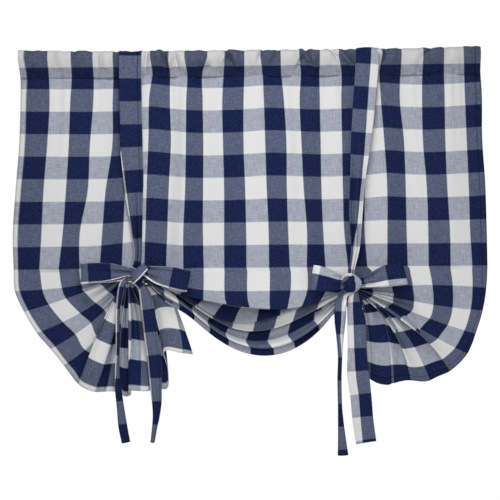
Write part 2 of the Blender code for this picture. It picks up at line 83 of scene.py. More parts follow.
def smoothCurve(keys, values, at):  # a smooth curve through values given at some keys
    at = np.clip(np.asarray(at, float), keys[0], keys[-1])
    slopes = np.gradient(values, keys, axis=0)
    low = np.clip(np.searchsorted(keys, at, side="right") - 1, 0, len(keys) - 2)

    def pick(array, index):
        if array.ndim == 1:
            return array[index]
        return np.take_along_axis(array, index[None], axis=0)[0]

    span = keys[low + 1] - keys[low]
    start, leave, end, arrive = cubicWeights((at - keys[low]) / span)
    return (
        start * pick(values, low)
        + leave * span * pick(slopes, low)
        + end * pick(values, low + 1)
        + arrive * span * pick(slopes, low + 1)
    )


def readTable(table, at, field):  # one column of a table, read between its rows
    keys = np.array([row[0] for row in table])
    return smoothCurve(keys, np.array([row[field] for row in table]), at)


def smoothStep(value, low, high):  # from 0 at low to 1 at high, which may be the smaller
    share = np.clip((value - low) / (high - low), 0.0, 1.0)
    return share * share * (3.0 - 2.0 * share)


def riseAndFall(value, start, full, fade, end):  # from 0 up to 1, and down to 0 again
    return smoothStep(value, start, full) * smoothStep(value, end, fade)


# A row for each edge of a column of checks: its place across at the seven heights below,
# the depth of the soft wave there, and how far the rows of checks ride up.
columnPlaces = (
    # column, headingX, seamX, secondX, thirdX, fourthX, fifthX, gatherX, depth, lift
    (0.00, -231.2, -229.8, -229.6, -231.0, -234.5, -237.3, -236.4, 0.5, 1.0),
    (0.26, -225.0, -223.0, -223.6, -224.9, -228.9, -232.1, -231.8, 0.0, 0.8),
    (1.26, -201.9, -200.9, -200.2, -202.6, -206.2, -208.4, -210.4, -1.5, 0.3),
    (2.26, -178.8, -178.1, -179.6, -181.1, -183.9, -187.3, -191.2, -2.5, 0.0),
    (3.26, -156.9, -156.3, -156.7, -160.2, -162.4, -170.6, -170.6, 1.0, 0.0),
    (4.26, -137.0, -136.6, -137.4, -137.9, -144.6, -148.2, -150.5, 2.5, 0.3),
    (5.26, -119.0, -118.6, -119.0, -120.0, -124.5, -126.7, -128.0, -1.0, 1.5),
    (6.26, -99.4, -97.5, -100.6, -101.6, -103.3, -104.6, -105.7, -1.5, 4.6),
    (7.26, -81.0, -80.0, -80.2, -79.1, -81.3, -82.8, -84.0, 2.0, 2.8),
    (8.26, -65.4, -62.9, -63.7, -64.1, -64.8, -66.7, -66.6, -3.5, 0.8),
    (9.26, -42.6, -47.2, -47.3, -46.7, -46.9, -47.1, -46.2, 2.0, 0.3),
    (10.26, -25.4, -26.3, -27.7, -27.0, -25.9, -25.9, -25.8, -1.0, 0.3),
    (11.26, -5.6, -5.6, -6.3, -6.4, -4.8, -3.7, -3.4, -3.0, 0.8),
    (12.26, 10.3, 12.2, 13.6, 15.1, 16.6, 18.6, 18.9, -2.0, 2.2),
    (13.26, 30.6, 31.0, 33.6, 36.5, 36.9, 38.4, 39.9, 2.0, 2.0),
    (14.26, 49.0, 50.6, 49.5, 51.3, 53.5, 56.9, 56.6, -3.0, 0.8),
    (15.26, 69.6, 69.4, 69.9, 70.8, 71.6, 73.5, 75.7, 2.5, 0.5),
    (16.26, 88.5, 91.2, 91.2, 92.0, 92.8, 94.3, 98.0, -1.0, 0.8),
    (17.26, 109.0, 109.5, 111.0, 113.5, 114.6, 114.8, 117.4, 1.0, 1.8),
    (18.26, 131.5, 129.4, 130.4, 133.9, 136.9, 137.2, 137.0, -2.0, 3.8),
    (19.26, 151.0, 150.6, 149.8, 154.1, 155.9, 156.9, 158.0, 2.0, 2.6),
    (20.26, 172.6, 172.2, 172.0, 172.9, 176.7, 178.2, 178.6, 0.0, 1.6),
    (21.26, 193.0, 193.8, 194.5, 195.2, 197.0, 199.8, 200.5, -2.0, 1.8),
    (22.26, 212.6, 213.8, 214.8, 216.6, 218.6, 220.1, 222.2, 0.0, 3.0),
    (23.01, 229.9, 230.0, 231.8, 232.3, 235.4, 236.9, 237.6, 1.0, 4.0),
)

# The fans beside the bows, a row for each fold: the row of the cloth, its place across and
# down at the side edge and at a check line half way in, and the depth at both.
leftFan = (
    # row, edgeX, edgeDown, middleX, middleDown, edgeY, middleY
    (10.0, -236.4, 222.0, -191.3, 219.8, 0.5, 0.0),
    (11.0, -235.0, 242.5, -188.0, 239.4, -1.0, -1.5),
    (12.0, -225.5, 263.5, -183.7, 250.2, -2.0, -0.5),
    (13.0, -212.7, 284.5, -169.9, 264.7, -3.0, -2.0),
    (14.0, -199.0, 300.5, -159.2, 274.5, -3.0, -0.5),
    (15.0, -186.0, 316.5, -151.5, 288.5, -4.0, -1.5),
    (15.4, -180.5, 324.0, -144.0, 292.0, -3.5, 1.5),
    (15.7, -175.0, 331.0, -147.0, 290.0, -5.0, -1.0),
    (16.0, -170.5, 335.0, -152.8, 288.9, -9.0, -7.5),
    (17.0, -154.3, 342.5, -138.8, 296.0, -11.0, -6.5),
    (17.5, -148.0, 343.0, -137.0, 296.0, -5.0, 0.5),
    (18.0, -143.1, 342.5, -133.7, 295.3, -8.0, -3.0),
    (18.5, -137.0, 342.5, -131.0, 295.3, -7.0, -3.0),
    (19.0, -130.5, 344.0, -129.5, 299.4, -2.0, 0.5),
    (19.5, -126.0, 348.0, -125.5, 300.0, 1.5, 3.0),
    (20.0, -121.5, 348.0, -119.5, 299.4, 1.5, 3.0),
    (20.5, -118.5, 345.0, -117.5, 294.0, -6.0, -1.0),
    (21.0, -120.5, 341.5, -121.0, 290.5, -13.0, -6.0),
    (22.0, -108.4, 341.5, -109.5, 291.5, -14.0, -6.0),
    (23.0, -100.1, 341.5, -101.0, 294.0, -11.0, -4.0),
    (23.5, -99.0, 340.0, -100.0, 294.0, -3.0, 1.0),
    (24.0, -98.0, 339.0, -99.0, 292.0, 4.0, 4.0),
    (24.5, -94.0, 339.0, -96.0, 290.0, 4.0, 4.0),
    (25.0, -91.0, 340.0, -93.0, 288.0, 1.0, 2.0),
    (25.5, -81.5, 337.0, -88.0, 281.0, 0.0, 1.0),
    (25.8, -82.5, 318.0, -93.0, 270.0, -4.0, -1.0),
    (26.0, -85.5, 308.7, -95.0, 264.7, -7.0, -3.0),
    (27.0, -66.3, 304.2, -75.3, 259.0, -10.0, -6.0),
    (27.36, -56.8, 305.5, -72.0, 262.0, -8.0, -4.0),
)
rightFan = (
    # row, edgeX, edgeDown, middleX, middleDown, edgeY, middleY
    (10.0, 237.6, 218.3, 178.8, 217.4, 1.0, 0.0),
    (11.0, 236.2, 239.5, 182.0, 236.6, -0.5, -2.5),
    (12.0, 232.4, 262.0, 183.3, 256.4, -2.0, 0.0),
    (13.0, 225.0, 285.1, 179.2, 270.1, -4.0, -2.5),
    (13.5, 221.5, 295.5, 174.5, 275.5, -3.5, -0.5),
    (14.0, 216.5, 304.9, 169.5, 280.3, -6.0, -4.0),
    (15.0, 199.0, 322.0, 164.6, 280.7, -8.0, -9.0),
    (15.2, 196.0, 324.0, 167.0, 279.5, -7.0, -5.0),
    (15.4, 191.5, 326.0, 168.0, 279.0, -5.0, 1.0),
    (15.7, 186.0, 328.5, 159.0, 281.5, -4.0, 1.0),
    (16.0, 179.5, 331.7, 153.5, 282.6, -4.0, -1.5),
    (17.0, 160.3, 331.5, 143.6, 282.6, -7.0, -6.5),
    (17.2, 157.5, 331.5, 146.5, 281.0, -6.0, -3.0),
    (17.4, 154.5, 332.0, 147.0, 280.0, -4.0, 2.0),
    (17.7, 149.0, 333.0, 140.0, 278.0, -4.0, 2.0),
    (18.0, 143.4, 334.3, 135.5, 276.2, -6.0, 0.5),
    (18.15, 141.2, 334.5, 134.8, 276.0, -5.0, 2.0),
    (18.5, 144.0, 333.0, 138.0, 275.5, 2.0, 5.0),
    (18.85, 142.5, 334.0, 138.0, 275.6, 1.0, 4.0),
    (19.0, 140.8, 335.4, 136.7, 275.6, -3.0, 1.5),
    (19.5, 130.5, 335.5, 127.5, 276.5, -4.0, 0.5),
    (20.0, 120.6, 331.0, 118.0, 276.5, -3.0, 0.5),
    (20.2, 116.5, 328.0, 115.0, 276.0, 0.0, 2.0),
    (20.5, 122.0, 325.0, 121.0, 274.0, 3.0, 5.0),
    (21.0, 131.0, 323.0, 128.0, 273.0, 4.5, 5.5),
    (22.0, 151.0, 322.0, 140.0, 273.0, 5.5, 6.5),
    (23.0, 171.0, 317.0, 150.0, 271.0, 6.5, 7.5),
    (23.5, 180.0, 312.0, 155.0, 269.0, 7.5, 8.5),
    (24.0, 178.0, 311.0, 153.0, 270.0, 10.0, 11.0),
    (25.0, 160.0, 318.0, 144.0, 272.0, 11.5, 12.0),
    (26.0, 140.0, 321.0, 133.0, 273.0, 12.0, 12.5),
    (27.0, 124.0, 322.0, 122.0, 274.0, 12.5, 13.0),
    (27.36, 120.0, 322.0, 118.0, 274.0, 12.5, 13.0),
)

# The swag between the bows, a row for each fold: the row of the cloth, its place across and
# down at three check lines, and its depth in the middle.
swagFolds = (
    # row, leftX, leftDown, middleX, middleDown, rightX, rightDown, y
    (10.0, -46.2, 221.0, 19.9, 221.0, 66.4, 221.0, -1.0),
    (11.0, -46.2, 241.5, 19.6, 242.4, 66.0, 241.5, -8.0),
    (11.5, -46.2, 248.0, 19.3, 252.5, 63.0, 249.5, -16.0),
    (12.0, -45.8, 251.0, 19.0, 260.0, 59.0, 255.5, -22.0),
    (12.2, -45.0, 250.6, 17.0, 259.6, 58.5, 254.0, -16.0),
    (12.5, -43.0, 249.5, 14.0, 256.0, 58.0, 250.0, -2.0),
    (13.0, -44.0, 250.5, 10.0, 259.0, 58.5, 249.0, 5.0),
    (13.5, -48.0, 252.4, 8.0, 265.5, 60.0, 250.5, 1.0),
    (13.8, -51.0, 255.2, 7.0, 270.6, 60.6, 253.4, -5.0),
    (14.0, -52.0, 256.4, 6.4, 272.6, 60.5, 255.0, -7.0),
    (14.2, -53.0, 254.8, 6.0, 270.4, 59.5, 254.4, 3.0),
    (14.5, -54.0, 256.0, 5.0, 274.0, 57.0, 259.0, 5.0),
    (14.8, -54.8, 257.8, 3.4, 280.6, 54.6, 265.4, -2.0),
    (15.0, -55.0, 258.4, 2.5, 282.8, 53.5, 268.0, -5.0),
    (15.2, -55.6, 256.8, 1.0, 280.6, 52.8, 268.6, 4.0),
    (15.5, -57.0, 258.0, -1.0, 284.5, 51.0, 274.0, 5.0),
    (15.8, -58.0, 259.8, -3.2, 290.0, 50.0, 279.0, 1.0),
    (16.1, -58.2, 260.8, -4.2, 292.2, 49.6, 280.4, -10.0),
    (16.3, -57.3, 261.6, -3.8, 293.0, 50.4, 281.8, -19.0),
    (16.6, -56.0, 263.4, -2.5, 294.6, 52.2, 283.6, -24.5),
    (17.0, -54.5, 265.2, 0.0, 297.4, 54.0, 286.2, -22.0),
    (17.2, -54.8, 264.8, 0.2, 296.6, 54.6, 285.6, -13.0),
    (17.5, -55.0, 268.2, 0.5, 301.4, 56.0, 289.6, -10.0),
    (18.0, -56.0, 270.8, 0.5, 305.2, 56.5, 292.4, -8.0),
    (18.5, -55.0, 269.0, 1.0, 303.5, 56.0, 290.0, 1.0),
    (19.0, -53.0, 263.0, 2.0, 296.0, 57.0, 283.0, 9.0),
    (20.0, -50.0, 250.0, 4.0, 274.0, 60.0, 262.0, 12.0),
    (20.5, -49.0, 246.0, 5.0, 263.0, 61.0, 255.0, 12.5),
    (21.0, -48.0, 245.0, 5.0, 260.0, 62.0, 254.0, 13.0),
    (21.5, -48.0, 247.0, 5.0, 266.0, 62.0, 257.0, 13.5),
    (22.0, -48.0, 252.0, 5.0, 277.0, 62.0, 265.0, 14.0),
    (23.0, -48.0, 262.0, 5.0, 296.0, 62.0, 280.0, 14.5),
    (23.5, -48.0, 264.0, 5.0, 300.0, 62.0, 283.0, 14.5),
    (24.0, -47.0, 262.0, 6.0, 297.0, 62.0, 281.0, 15.5),
    (25.0, -46.0, 252.0, 8.0, 276.0, 63.0, 265.0, 16.5),
    (25.5, -46.0, 248.0, 9.0, 265.0, 64.0, 257.0, 17.5),
    (26.0, -46.0, 247.0, 10.0, 262.0, 64.0, 255.0, 19.0),
    (26.5, -46.0, 250.0, 10.0, 270.0, 64.0, 260.0, 20.0),
    (27.36, -46.0, 258.0, 10.0, 289.0, 64.0, 274.0, 21.0),
)

# The cloth bundled inside each bow: the row of the cloth, its place down and its depth.
bundleRows = (
    # row, leftDown, rightDown, y
    (10.0, 220.6, 221.4, -1.0),
    (11.0, 224.0, 240.0, -2.0),
    (12.0, 225.4, 241.2, -3.0),
    (14.0, 228.2, 243.8, -2.5),
    (18.0, 231.4, 248.8, -0.5),
    (20.0, 232.6, 251.2, 1.0),
    (24.0, 234.2, 255.4, 4.0),
    (27.36, 235.4, 258.8, 6.0),
)

panel = {
    "heights": (9.0, 24.0, 51.0, 96.0, 141.0, 186.0, 219.2),  # where the columns are placed
    "waveAtTop": 0.25,  # the soft waves start shallow and are full this far down
    "waveFullDown": 152.0,
    "gatherDepth": 1.1,  # small gathers under the pocket, and the rows in which they fade
    "gatherRows": 2.6,
    "liftRow": 5.0,  # the rows ride up in full as far down as this one
    "leftBowColumn": 5.93,  # the bows tie the cloth at these columns
    "rightBowColumn": 16.42,
    "bowPull": 3.8,  # the left bow pulls the last whole rows up, over so many columns
    "pulledColumns": 1.4,
    "pulledRows": (7.2, 9.0, 9.2, 10.0),  # where the pull starts, is full, fades and ends
    "neckHalfColumns": 0.32,  # the bundle: its half width in the cloth and in the drawing
    "neckHalfSteps": 7.2,
    "neckFanSteps": 11.5,  # half width on the fan's side, and what it loses with each row
    "neckFanTaper": 0.26,
    "leftMiddleColumn": 2.26,  # the fans are drawn through these check lines
    "rightMiddleColumn": 20.26,
    "flatFoldDrop": 5.5,  # the left fan's last fold hangs flat past these rows
    "flatFoldRows": (25.8, 26.3),
    "swagColumns": (9.26, 12.26, 14.76),  # the swag is drawn through these check lines
    "swagFullness": 2.2,  # how soon the swag reaches its full depth beside a bow
    "outerFoldSag": 7.0,  # the swag's outer fold hangs lower beside the left bow
    "outerFoldAcross": -84.0,
    "outerFoldWidth": 17.0,
    "outerFoldRows": (16.2, 17.4, 18.6, 19.6),
    "creaseDepth": 4.4,  # the most depth of a crease at the bows, and the rows in which it grows
    "creaseRows": 0.6,
    "upperSamples": 62,
    "samplesPerRow": 9,
    "leftFanSamples": 46,
    "rightFanSamples": 52,
    "swagSamples": 92,
    "neckSamples": 4,
}

# How far the creases reach from the bows: up to each row, the share of the way out where
# they have faded and the share where they are still full.
pastHem = cloth["hemRow"] + 1.0
creaseReach = {
    "left": ((16.2, 0.6, 0.3), (pastHem, 1.0, 0.5)),
    "right": ((14.5, 0.5, 0.25), (pastHem, 1.0, 0.5)),
    "swag": ((12.8, 0.35, 0.1), (18.2, 0.6, 0.2), (pastHem, 0.9, 0.4)),
}


def gatherWave(column):  # small gathers, from waves of unrelated lengths so that none repeats
    return (
        0.45 * np.sin(column * 11.3 + 0.6)
        + 0.35 * np.sin(column * 7.1 + 2.2 * np.sin(column * 0.7))
        + 0.30 * np.sin(column * 17.9 + 1.3)
        + 0.25 * np.sin(column * 4.3 + 0.4)
    )


def columnAcross(column, down):  # where a column of the cloth runs at each height
    places = np.stack([readTable(columnPlaces, column, field) for field in range(1, 8)])
    return smoothCurve(np.array(panel["heights"]), places, down)


def gatherAcross(column):  # where it runs at the gather line
    return readTable(columnPlaces, column, 7)


def upperCloth(column, row):  # between the pocket and the bows
    down = cloth["firstRowDown"] + cloth["rowPitch"] * (row - 1.0)
    across = columnAcross(column, down)
    grown = np.minimum(1.0, panel["waveAtTop"] + down / panel["waveFullDown"])
    small = np.exp(-((row - cloth["stitchRow"]) / panel["gatherRows"]))
    depth = readTable(columnPlaces, column, 8) * grown + panel["gatherDepth"] * small * gatherWave(column)
    lift = readTable(columnPlaces, column, 9) * smoothStep(row, cloth["gatherRow"], panel["liftRow"])
    fromBow = (column - panel["leftBowColumn"]) / panel["pulledColumns"]
    lift = lift + panel["bowPull"] * np.exp(-(fromBow**2)) * riseAndFall(row, *panel["pulledRows"])
    return across, down - lift - cloth["drawingLean"] * across, depth


def bundlePlace(side, row, offset):  # where the cloth passes through a bow
    left = side == "left"
    fanSide = offset < 0.0 if left else offset > 0.0
    wide = panel["neckFanSteps"] - panel["neckFanTaper"] * (row - cloth["gatherRow"])
    half = np.where(fanSide, wide, panel["neckHalfSteps"])
    middle = gatherAcross(panel[side + "BowColumn"])
    down = readTable(bundleRows, row, 1 if left else 2)
    return middle + offset * half, down, readTable(bundleRows, row, 3)


def fanCloth(side, column, row):  # rays from a bow to the side edge of the cloth
    left = side == "left"
    table = leftFan if left else rightFan
    turn = -1.0 if left else 1.0
    inner = panel[side + "BowColumn"] + turn * panel["neckHalfColumns"]
    outer = 0.0 if left else cloth["checksAcross"]
    root = bundlePlace(side, row, np.full_like(row, turn))
    innerX, outerX, middleX = (gatherAcross(at) for at in (inner, outer, panel[side + "MiddleColumn"]))
    share = (gatherAcross(column) - innerX) / (outerX - innerX)
    middle = (middleX - innerX) / (outerX - innerX)
    fromRoot = (share - middle) * (share - 1.0) / middle
    fromMiddle = share * (1.0 - share) / (middle * (1.0 - middle))
    fromEdge = share * (share - middle) / (1.0 - middle)
    edge = [readTable(table, row, field) for field in (1, 2, 5)]
    half = [readTable(table, row, field) for field in (3, 4, 6)]
    found = [root[k] * fromRoot + half[k] * fromMiddle + edge[k] * fromEdge for k in range(3)]
    if left:  # the last fold hangs flat
        outer = np.clip((share - middle) / (1.0 - middle), 0.0, 1.0)
        last = smoothStep(row, *panel["flatFoldRows"])
        found[1] = found[1] + panel["flatFoldDrop"] * last * np.sin(math.pi * outer)
    return found


def swagCloth(column, row):  # hangs between the two bows, through three points of each fold
    left = bundlePlace("left", row, np.full_like(row, 1.0))
    right = bundlePlace("right", row, np.full_like(row, -1.0))
    firstLine = panel["leftBowColumn"] + panel["neckHalfColumns"]
    lastLine = panel["rightBowColumn"] - panel["neckHalfColumns"]
    lines = [firstLine, *panel["swagColumns"], lastLine]
    places = [float(gatherAcross(line)) for line in lines]
    at = np.clip(gatherAcross(column), places[0], places[-1])
    share = (at - places[0]) / (places[-1] - places[0])
    weights = []  # of a smooth curve through the five points
    for k in range(5):
        others = [(at - places[m]) / (places[k] - places[m]) for m in range(5) if m != k]
        weights.append(np.prod(others, axis=0))
    between = [[readTable(swagFolds, row, field + 2 * k) for field in (1, 2)] for k in range(3)]
    knots = [left, *between, right]
    across, down = (sum(weight * knot[k] for weight, knot in zip(weights, knots)) for k in (0, 1))
    depth = left[2] + share * (right[2] - left[2])
    hang = 1.0 - np.abs(2.0 * share - 1.0) ** panel["swagFullness"]
    depth = depth + hang * (readTable(swagFolds, row, 7) - (left[2] + right[2]) / 2.0)
    outer = riseAndFall(row, *panel["outerFoldRows"])
    fromLow = (across - panel["outerFoldAcross"]) / panel["outerFoldWidth"]
    down = down + panel["outerFoldSag"] * outer * np.exp(-(fromLow**2))
    return [across, down, depth]


def bowEdges(side):  # the columns where a bow's bundle starts and ends
    return [panel[side + "BowColumn"] + turn * panel["neckHalfColumns"] for turn in (-1, 1)]


def panelGrid():  # columns and rows of the mesh, in checks
    edges = [0.0, *bowEdges("left"), *bowEdges("right"), cloth["checksAcross"]]
    parts = ("leftFan", "neck", "swag", "neck", "rightFan")
    counts = [panel[part + "Samples"] for part in parts]
    columns = [np.linspace(a, b, n, endpoint=False) for a, b, n in zip(edges, edges[1:], counts)]
    columns = np.concatenate(columns + [[cloth["checksAcross"]]])
    stitch, gather, hem = cloth["stitchRow"], cloth["gatherRow"], cloth["hemRow"]
    upper = np.linspace(stitch, gather, panel["upperSamples"], endpoint=False)
    lower = np.linspace(gather, hem, round((hem - gather) * panel["samplesPerRow"]) + 1)
    return columns, np.concatenate([upper, lower])


def panelShape():  # the whole cloth under the pocket, in drawing steps
    column, row = np.meshgrid(*panelGrid())
    (leftIn, leftOut), (rightIn, rightOut) = bowEdges("left"), bowEdges("right")
    inLeft = np.clip((column - panel["leftBowColumn"]) / panel["neckHalfColumns"], -1, 1)
    inRight = np.clip((column - panel["rightBowColumn"]) / panel["neckHalfColumns"], -1, 1)
    zones = [
        (column <= leftIn, fanCloth("left", np.minimum(column, leftIn), row)),
        (column < leftOut, bundlePlace("left", row, inLeft)),
        (column <= rightIn, swagCloth(np.clip(column, leftOut, rightIn), row)),
        (column < rightOut, bundlePlace("right", row, inRight)),
        (column >= rightOut, fanCloth("right", np.maximum(column, rightOut), row)),
    ]
    lower = [np.select([where for where, _ in zones], [found[k] for _, found in zones]) for k in range(3)]
    above = row <= cloth["gatherRow"]
    shape = [np.where(above, high, deep) for high, deep in zip(upperCloth(column, row), lower)]
    return column, row, shape


def creaseMask(column, row):  # creases fade away from the bows, sooner where the cloth lies flat
    leftBow, rightBow = panel["leftBowColumn"], panel["rightBowColumn"]
    half = (rightBow - leftBow) / 2.0
    away = {
        "left": (leftBow - column) / leftBow,
        "right": (column - rightBow) / (cloth["checksAcross"] - rightBow),
        "swag": 1.0 - np.abs(column - leftBow - half) / half,
    }
    masks = {}
    for part, reaches in creaseReach.items():
        out = np.clip(away[part], 0.0, 1.0)
        steps = [smoothStep(out, faded, full) for _, faded, full in reaches]
        masks[part] = np.select([row < lastRow for lastRow, _, _ in reaches], steps)
    mask = np.where(column > rightBow, masks["right"], masks["swag"])
    mask = np.where(column < leftBow, masks["left"], mask)
    return mask * smoothStep(row, cloth["gatherRow"], cloth["gatherRow"] + panel["creaseRows"])


def addCreases(column, row, shape):  # the cloth's real length goes into creases at the bows
    reach = np.sqrt(sum(np.gradient(axis, axis=0) ** 2 for axis in shape)) / np.gradient(row, axis=0)
    spare = np.maximum(cloth["stepsPerCheck"] ** 2 - reach**2, 0.0)
    depth = np.minimum(np.sqrt(2.0 * spare) / (2.0 * math.pi), panel["creaseDepth"])
    depth = depth * creaseMask(column, row) * np.sin(2.0 * math.pi * row)
    return [shape[0], shape[1], shape[2] + depth]


def sheetObject(name, points, columns, rows):  # a mesh over a grid of points, with its cloth map
    high, wide = points.shape[:2]
    corner = np.arange(high * wide).reshape(high, wide)
    faces = np.stack([corner[:-1, :-1], corner[1:, :-1], corner[1:, 1:], corner[:-1, 1:]], axis=-1)
    mesh = bpy.data.meshes.new(name)
    mesh.from_pydata(points.reshape(-1, 3).tolist(), [], faces.reshape(-1, 4).tolist())
    clothMap = mesh.uv_layers.new(name="clothMap")
    spots = np.stack([columns.reshape(-1), rows.reshape(-1)], axis=-1)
    loops = np.zeros(len(mesh.loops), np.int32)
    mesh.loops.foreach_get("vertex_index", loops)
    clothMap.data.foreach_set("uv", spots[loops].astype(np.float32).ravel())
    obj = bpy.data.objects.new(name, mesh)
    bpy.context.scene.collection.objects.link(obj)
    mesh.polygons.foreach_set("use_smooth", [True] * len(mesh.polygons))
    return obj


def thicken(obj, thickness):  # gives the cloth its thickness, half to each side
    for other in bpy.context.selected_objects:
        other.select_set(False)
    bpy.context.view_layer.objects.active = obj
    obj.select_set(True)
    walls = obj.modifiers.new("thickness", "SOLIDIFY")
    walls.thickness = thickness
    walls.offset = 0.0
    walls.use_even_offset = False
    bpy.ops.object.modifier_apply(modifier=walls.name)


column, row, shape = panelShape()
shape = addCreases(column, row, shape)
panelObject = sheetObject("panelCloth", place(*shape), column, row)
thicken(panelObject, cloth["thickness"])
print("panel done")

# The rod pocket: the top of the same cloth, turned over the rod and down behind it.
heading = {
    "halfDepth": 6.3,  # at the rod, and where it is sewn
    "seamHalf": 0.22,
    "seamDown": 28.9,
    "bulgePower": 1.2,
    "samplesAcross": 460,
    "frontSamples": 30,
    "topSamples": 14,
    "waveStrength": 0.30,  # the small gathers over the whole pocket
    "gatherStrength": 3.2,  # of the table below
    "droopStrength": 1.5,
    "frontDepths": (2.0, -4.0),  # the gathers turn over from the back to the front between these
    "topSag": 2.0,  # between its ends the pocket's top hangs this much lower
    "sagHalfLength": 232.0,
    "topWave": 0.5,  # the uneven top edge, in steps, and how it differs from the gathers
    "topWavePitch": 0.83,
    "topWaveShift": 3.0,
    "topPush": 0.35,  # a gather that swells forward also lifts the top edge
}

# The gathers on the pocket's front, each a soft swelling or, where it goes back, a tuck.
pocketGathers = (
    # across, down, halfWidth, halfHeight, slant, forward, droop
    (-217.0, 8.0, 5.0, 9.0, 0.0, 0.5, 0.4),
    (-190.0, 6.0, 4.0, 8.0, 0.2, 0.7, 0.6),
    (-171.0, 5.0, 5.0, 8.0, 0.0, 0.7, 0.4),
    (-175.5, 3.0, 2.0, 6.0, 0.2, -0.9, 0.0),
    (-152.0, 12.0, 1.6, 8.0, 0.0, -0.9, 0.0),
    (-144.0, 12.0, 3.5, 12.0, -0.1, 0.8, 0.6),
    (-134.0, 14.0, 3.0, 14.0, 0.0, -1.4, 0.0),
    (-104.0, 14.0, 2.0, 14.0, 0.1, -1.5, 0.0),
    (-92.0, 8.0, 6.0, 9.0, 0.1, 2.0, -1.0),
    (-85.5, 9.0, 2.0, 8.0, -0.1, -2.2, 1.0),
    (-81.0, 11.0, 2.6, 8.0, -0.1, 1.6, 2.2),
    (-74.0, 12.0, 1.8, 14.0, -0.2, -1.2, 0.0),
    (-68.0, 10.0, 4.0, 10.0, -0.2, 1.0, 0.4),
    (-58.0, 10.0, 5.0, 8.0, 0.0, 1.0, 1.0),
    (-48.0, 9.0, 5.0, 7.0, -0.1, 1.6, 0.4),
    (-43.5, 20.0, 4.0, 5.0, 0.5, -1.8, -1.6),
    (-30.0, 10.0, 4.0, 10.0, 0.0, 0.8, 0.5),
    (-25.0, 7.0, 3.0, 8.0, 0.5, 1.6, 0.0),
    (-20.5, 9.0, 1.6, 9.0, -0.4, -1.8, 0.0),
    (-14.0, 9.0, 3.6, 10.0, -0.3, 1.5, 1.0),
    (4.0, 10.0, 6.0, 11.0, 0.0, 0.8, 0.2),
    (11.0, 5.0, 2.0, 7.0, 0.3, -1.4, 0.0),
    (18.0, 7.0, 5.0, 8.0, -0.4, 1.3, 1.2),
    (25.5, 6.0, 2.0, 8.0, 0.4, -1.0, -0.6),
    (40.0, 10.0, 6.0, 10.0, 0.0, 0.8, -0.4),
    (50.0, 15.0, 2.0, 8.0, 0.5, -1.5, -1.6),
    (55.0, 7.0, 3.0, 8.0, -0.7, 1.8, 0.6),
    (59.5, 8.0, 1.5, 10.0, -0.5, -1.6, 0.6),
    (63.5, 10.0, 3.4, 8.0, -0.3, 1.8, 2.8),
    (78.0, 10.0, 5.0, 10.0, 0.0, 0.8, 0.0),
    (84.0, 7.0, 1.6, 8.0, -0.7, -1.2, 0.0),
    (95.0, 9.0, 4.0, 8.0, -0.8, 1.7, 2.4),
    (100.5, 9.0, 1.7, 9.0, -0.7, -1.6, 1.0),
    (130.0, 6.0, 2.4, 5.0, -0.5, 1.8, 0.0),
    (133.5, 10.0, 1.8, 8.0, 0.3, -1.8, 0.0),
    (142.0, 9.0, 5.0, 9.0, 0.0, 1.2, 0.6),
    (164.0, 10.0, 6.0, 10.0, 0.0, 0.7, 0.0),
    (178.0, 4.0, 2.0, 5.0, 0.9, -1.2, -0.4),
    (188.0, 7.0, 6.0, 9.0, 0.0, 0.9, -0.8),
    (205.0, 8.0, 6.0, 10.0, 0.0, 0.7, 0.0),
    (221.0, 8.0, 6.0, 9.0, 0.0, 0.8, -0.6),
)


def pocketSection():  # half depth and place down, from the front seam over the top to the back
    down = np.linspace(heading["seamDown"], cloth["rodAxisDown"], heading["frontSamples"])
    share = (heading["seamDown"] - down) / (heading["seamDown"] - cloth["rodAxisDown"])
    bulge = np.maximum(np.sin(share * math.pi / 2.0), 0.0) ** heading["bulgePower"]
    half = heading["seamHalf"] + (heading["halfDepth"] - heading["seamHalf"]) * bulge
    angle = np.linspace(0.0, math.pi, heading["topSamples"] + 2)[1:-1]
    overDepth = -heading["halfDepth"] * np.cos(angle)
    overDown = cloth["rodAxisDown"] - heading["halfDepth"] * np.sin(angle)
    depth = np.concatenate([-half, overDepth, half[::-1]])
    downs = np.concatenate([down, overDown, down[::-1]])
    run = np.concatenate([[0.0], np.cumsum(np.hypot(np.diff(depth), np.diff(downs)))])
    return depth, downs, run


def pocketShape():  # the turned-over top of the cloth, in drawing steps
    depth, down, run = pocketSection()
    columns = np.linspace(0.0, cloth["checksAcross"], heading["samplesAcross"])
    column, depth = np.meshgrid(columns, depth)
    down = np.broadcast_to(down[:, None], column.shape)
    run = np.broadcast_to(run[:, None], column.shape)
    across = columnAcross(column, down)
    low = smoothStep(down, cloth["rodAxisDown"], heading["seamDown"])
    top = smoothStep(down, cloth["rodAxisDown"], 0.0)
    inFront = smoothStep(depth, *heading["frontDepths"])
    wave = gatherWave(column)
    push = heading["waveStrength"] * wave * (1.0 - low)
    droop = np.zeros(column.shape)
    for atX, atDown, halfWidth, halfHeight, slant, forward, fall in pocketGathers:
        sideways = (across - atX + slant * (down - atDown)) / halfWidth
        upright = (down - atDown) / halfHeight
        swell = np.exp(-(sideways**2 + upright**2))
        push = push + heading["gatherStrength"] * forward * swell
        droop = droop + heading["droopStrength"] * fall * swell
    push = push * (1.0 - low**3)
    sag = heading["topSag"] * (1.0 - (across / heading["sagHalfLength"]) ** 4) * top
    edgeColumn = column * heading["topWavePitch"] + heading["topWaveShift"]
    edgeWave = heading["topWave"] * gatherWave(edgeColumn) * top
    depth = depth - push * inFront + push * (1.0 - inFront) + panel["gatherDepth"] * wave * low
    down = down + sag + edgeWave - heading["topPush"] * push * top + droop * inFront * (1.0 - top)
    row = cloth["stitchRow"] - run / cloth["rowPitch"]
    return column, row, [across, down - cloth["drawingLean"] * across, depth], float(run.max())


column, row, shape, pocketRun = pocketShape()
headingObject = sheetObject("headingCloth", place(*shape), column, row)
thicken(headingObject, cloth["thickness"])
print("heading done")

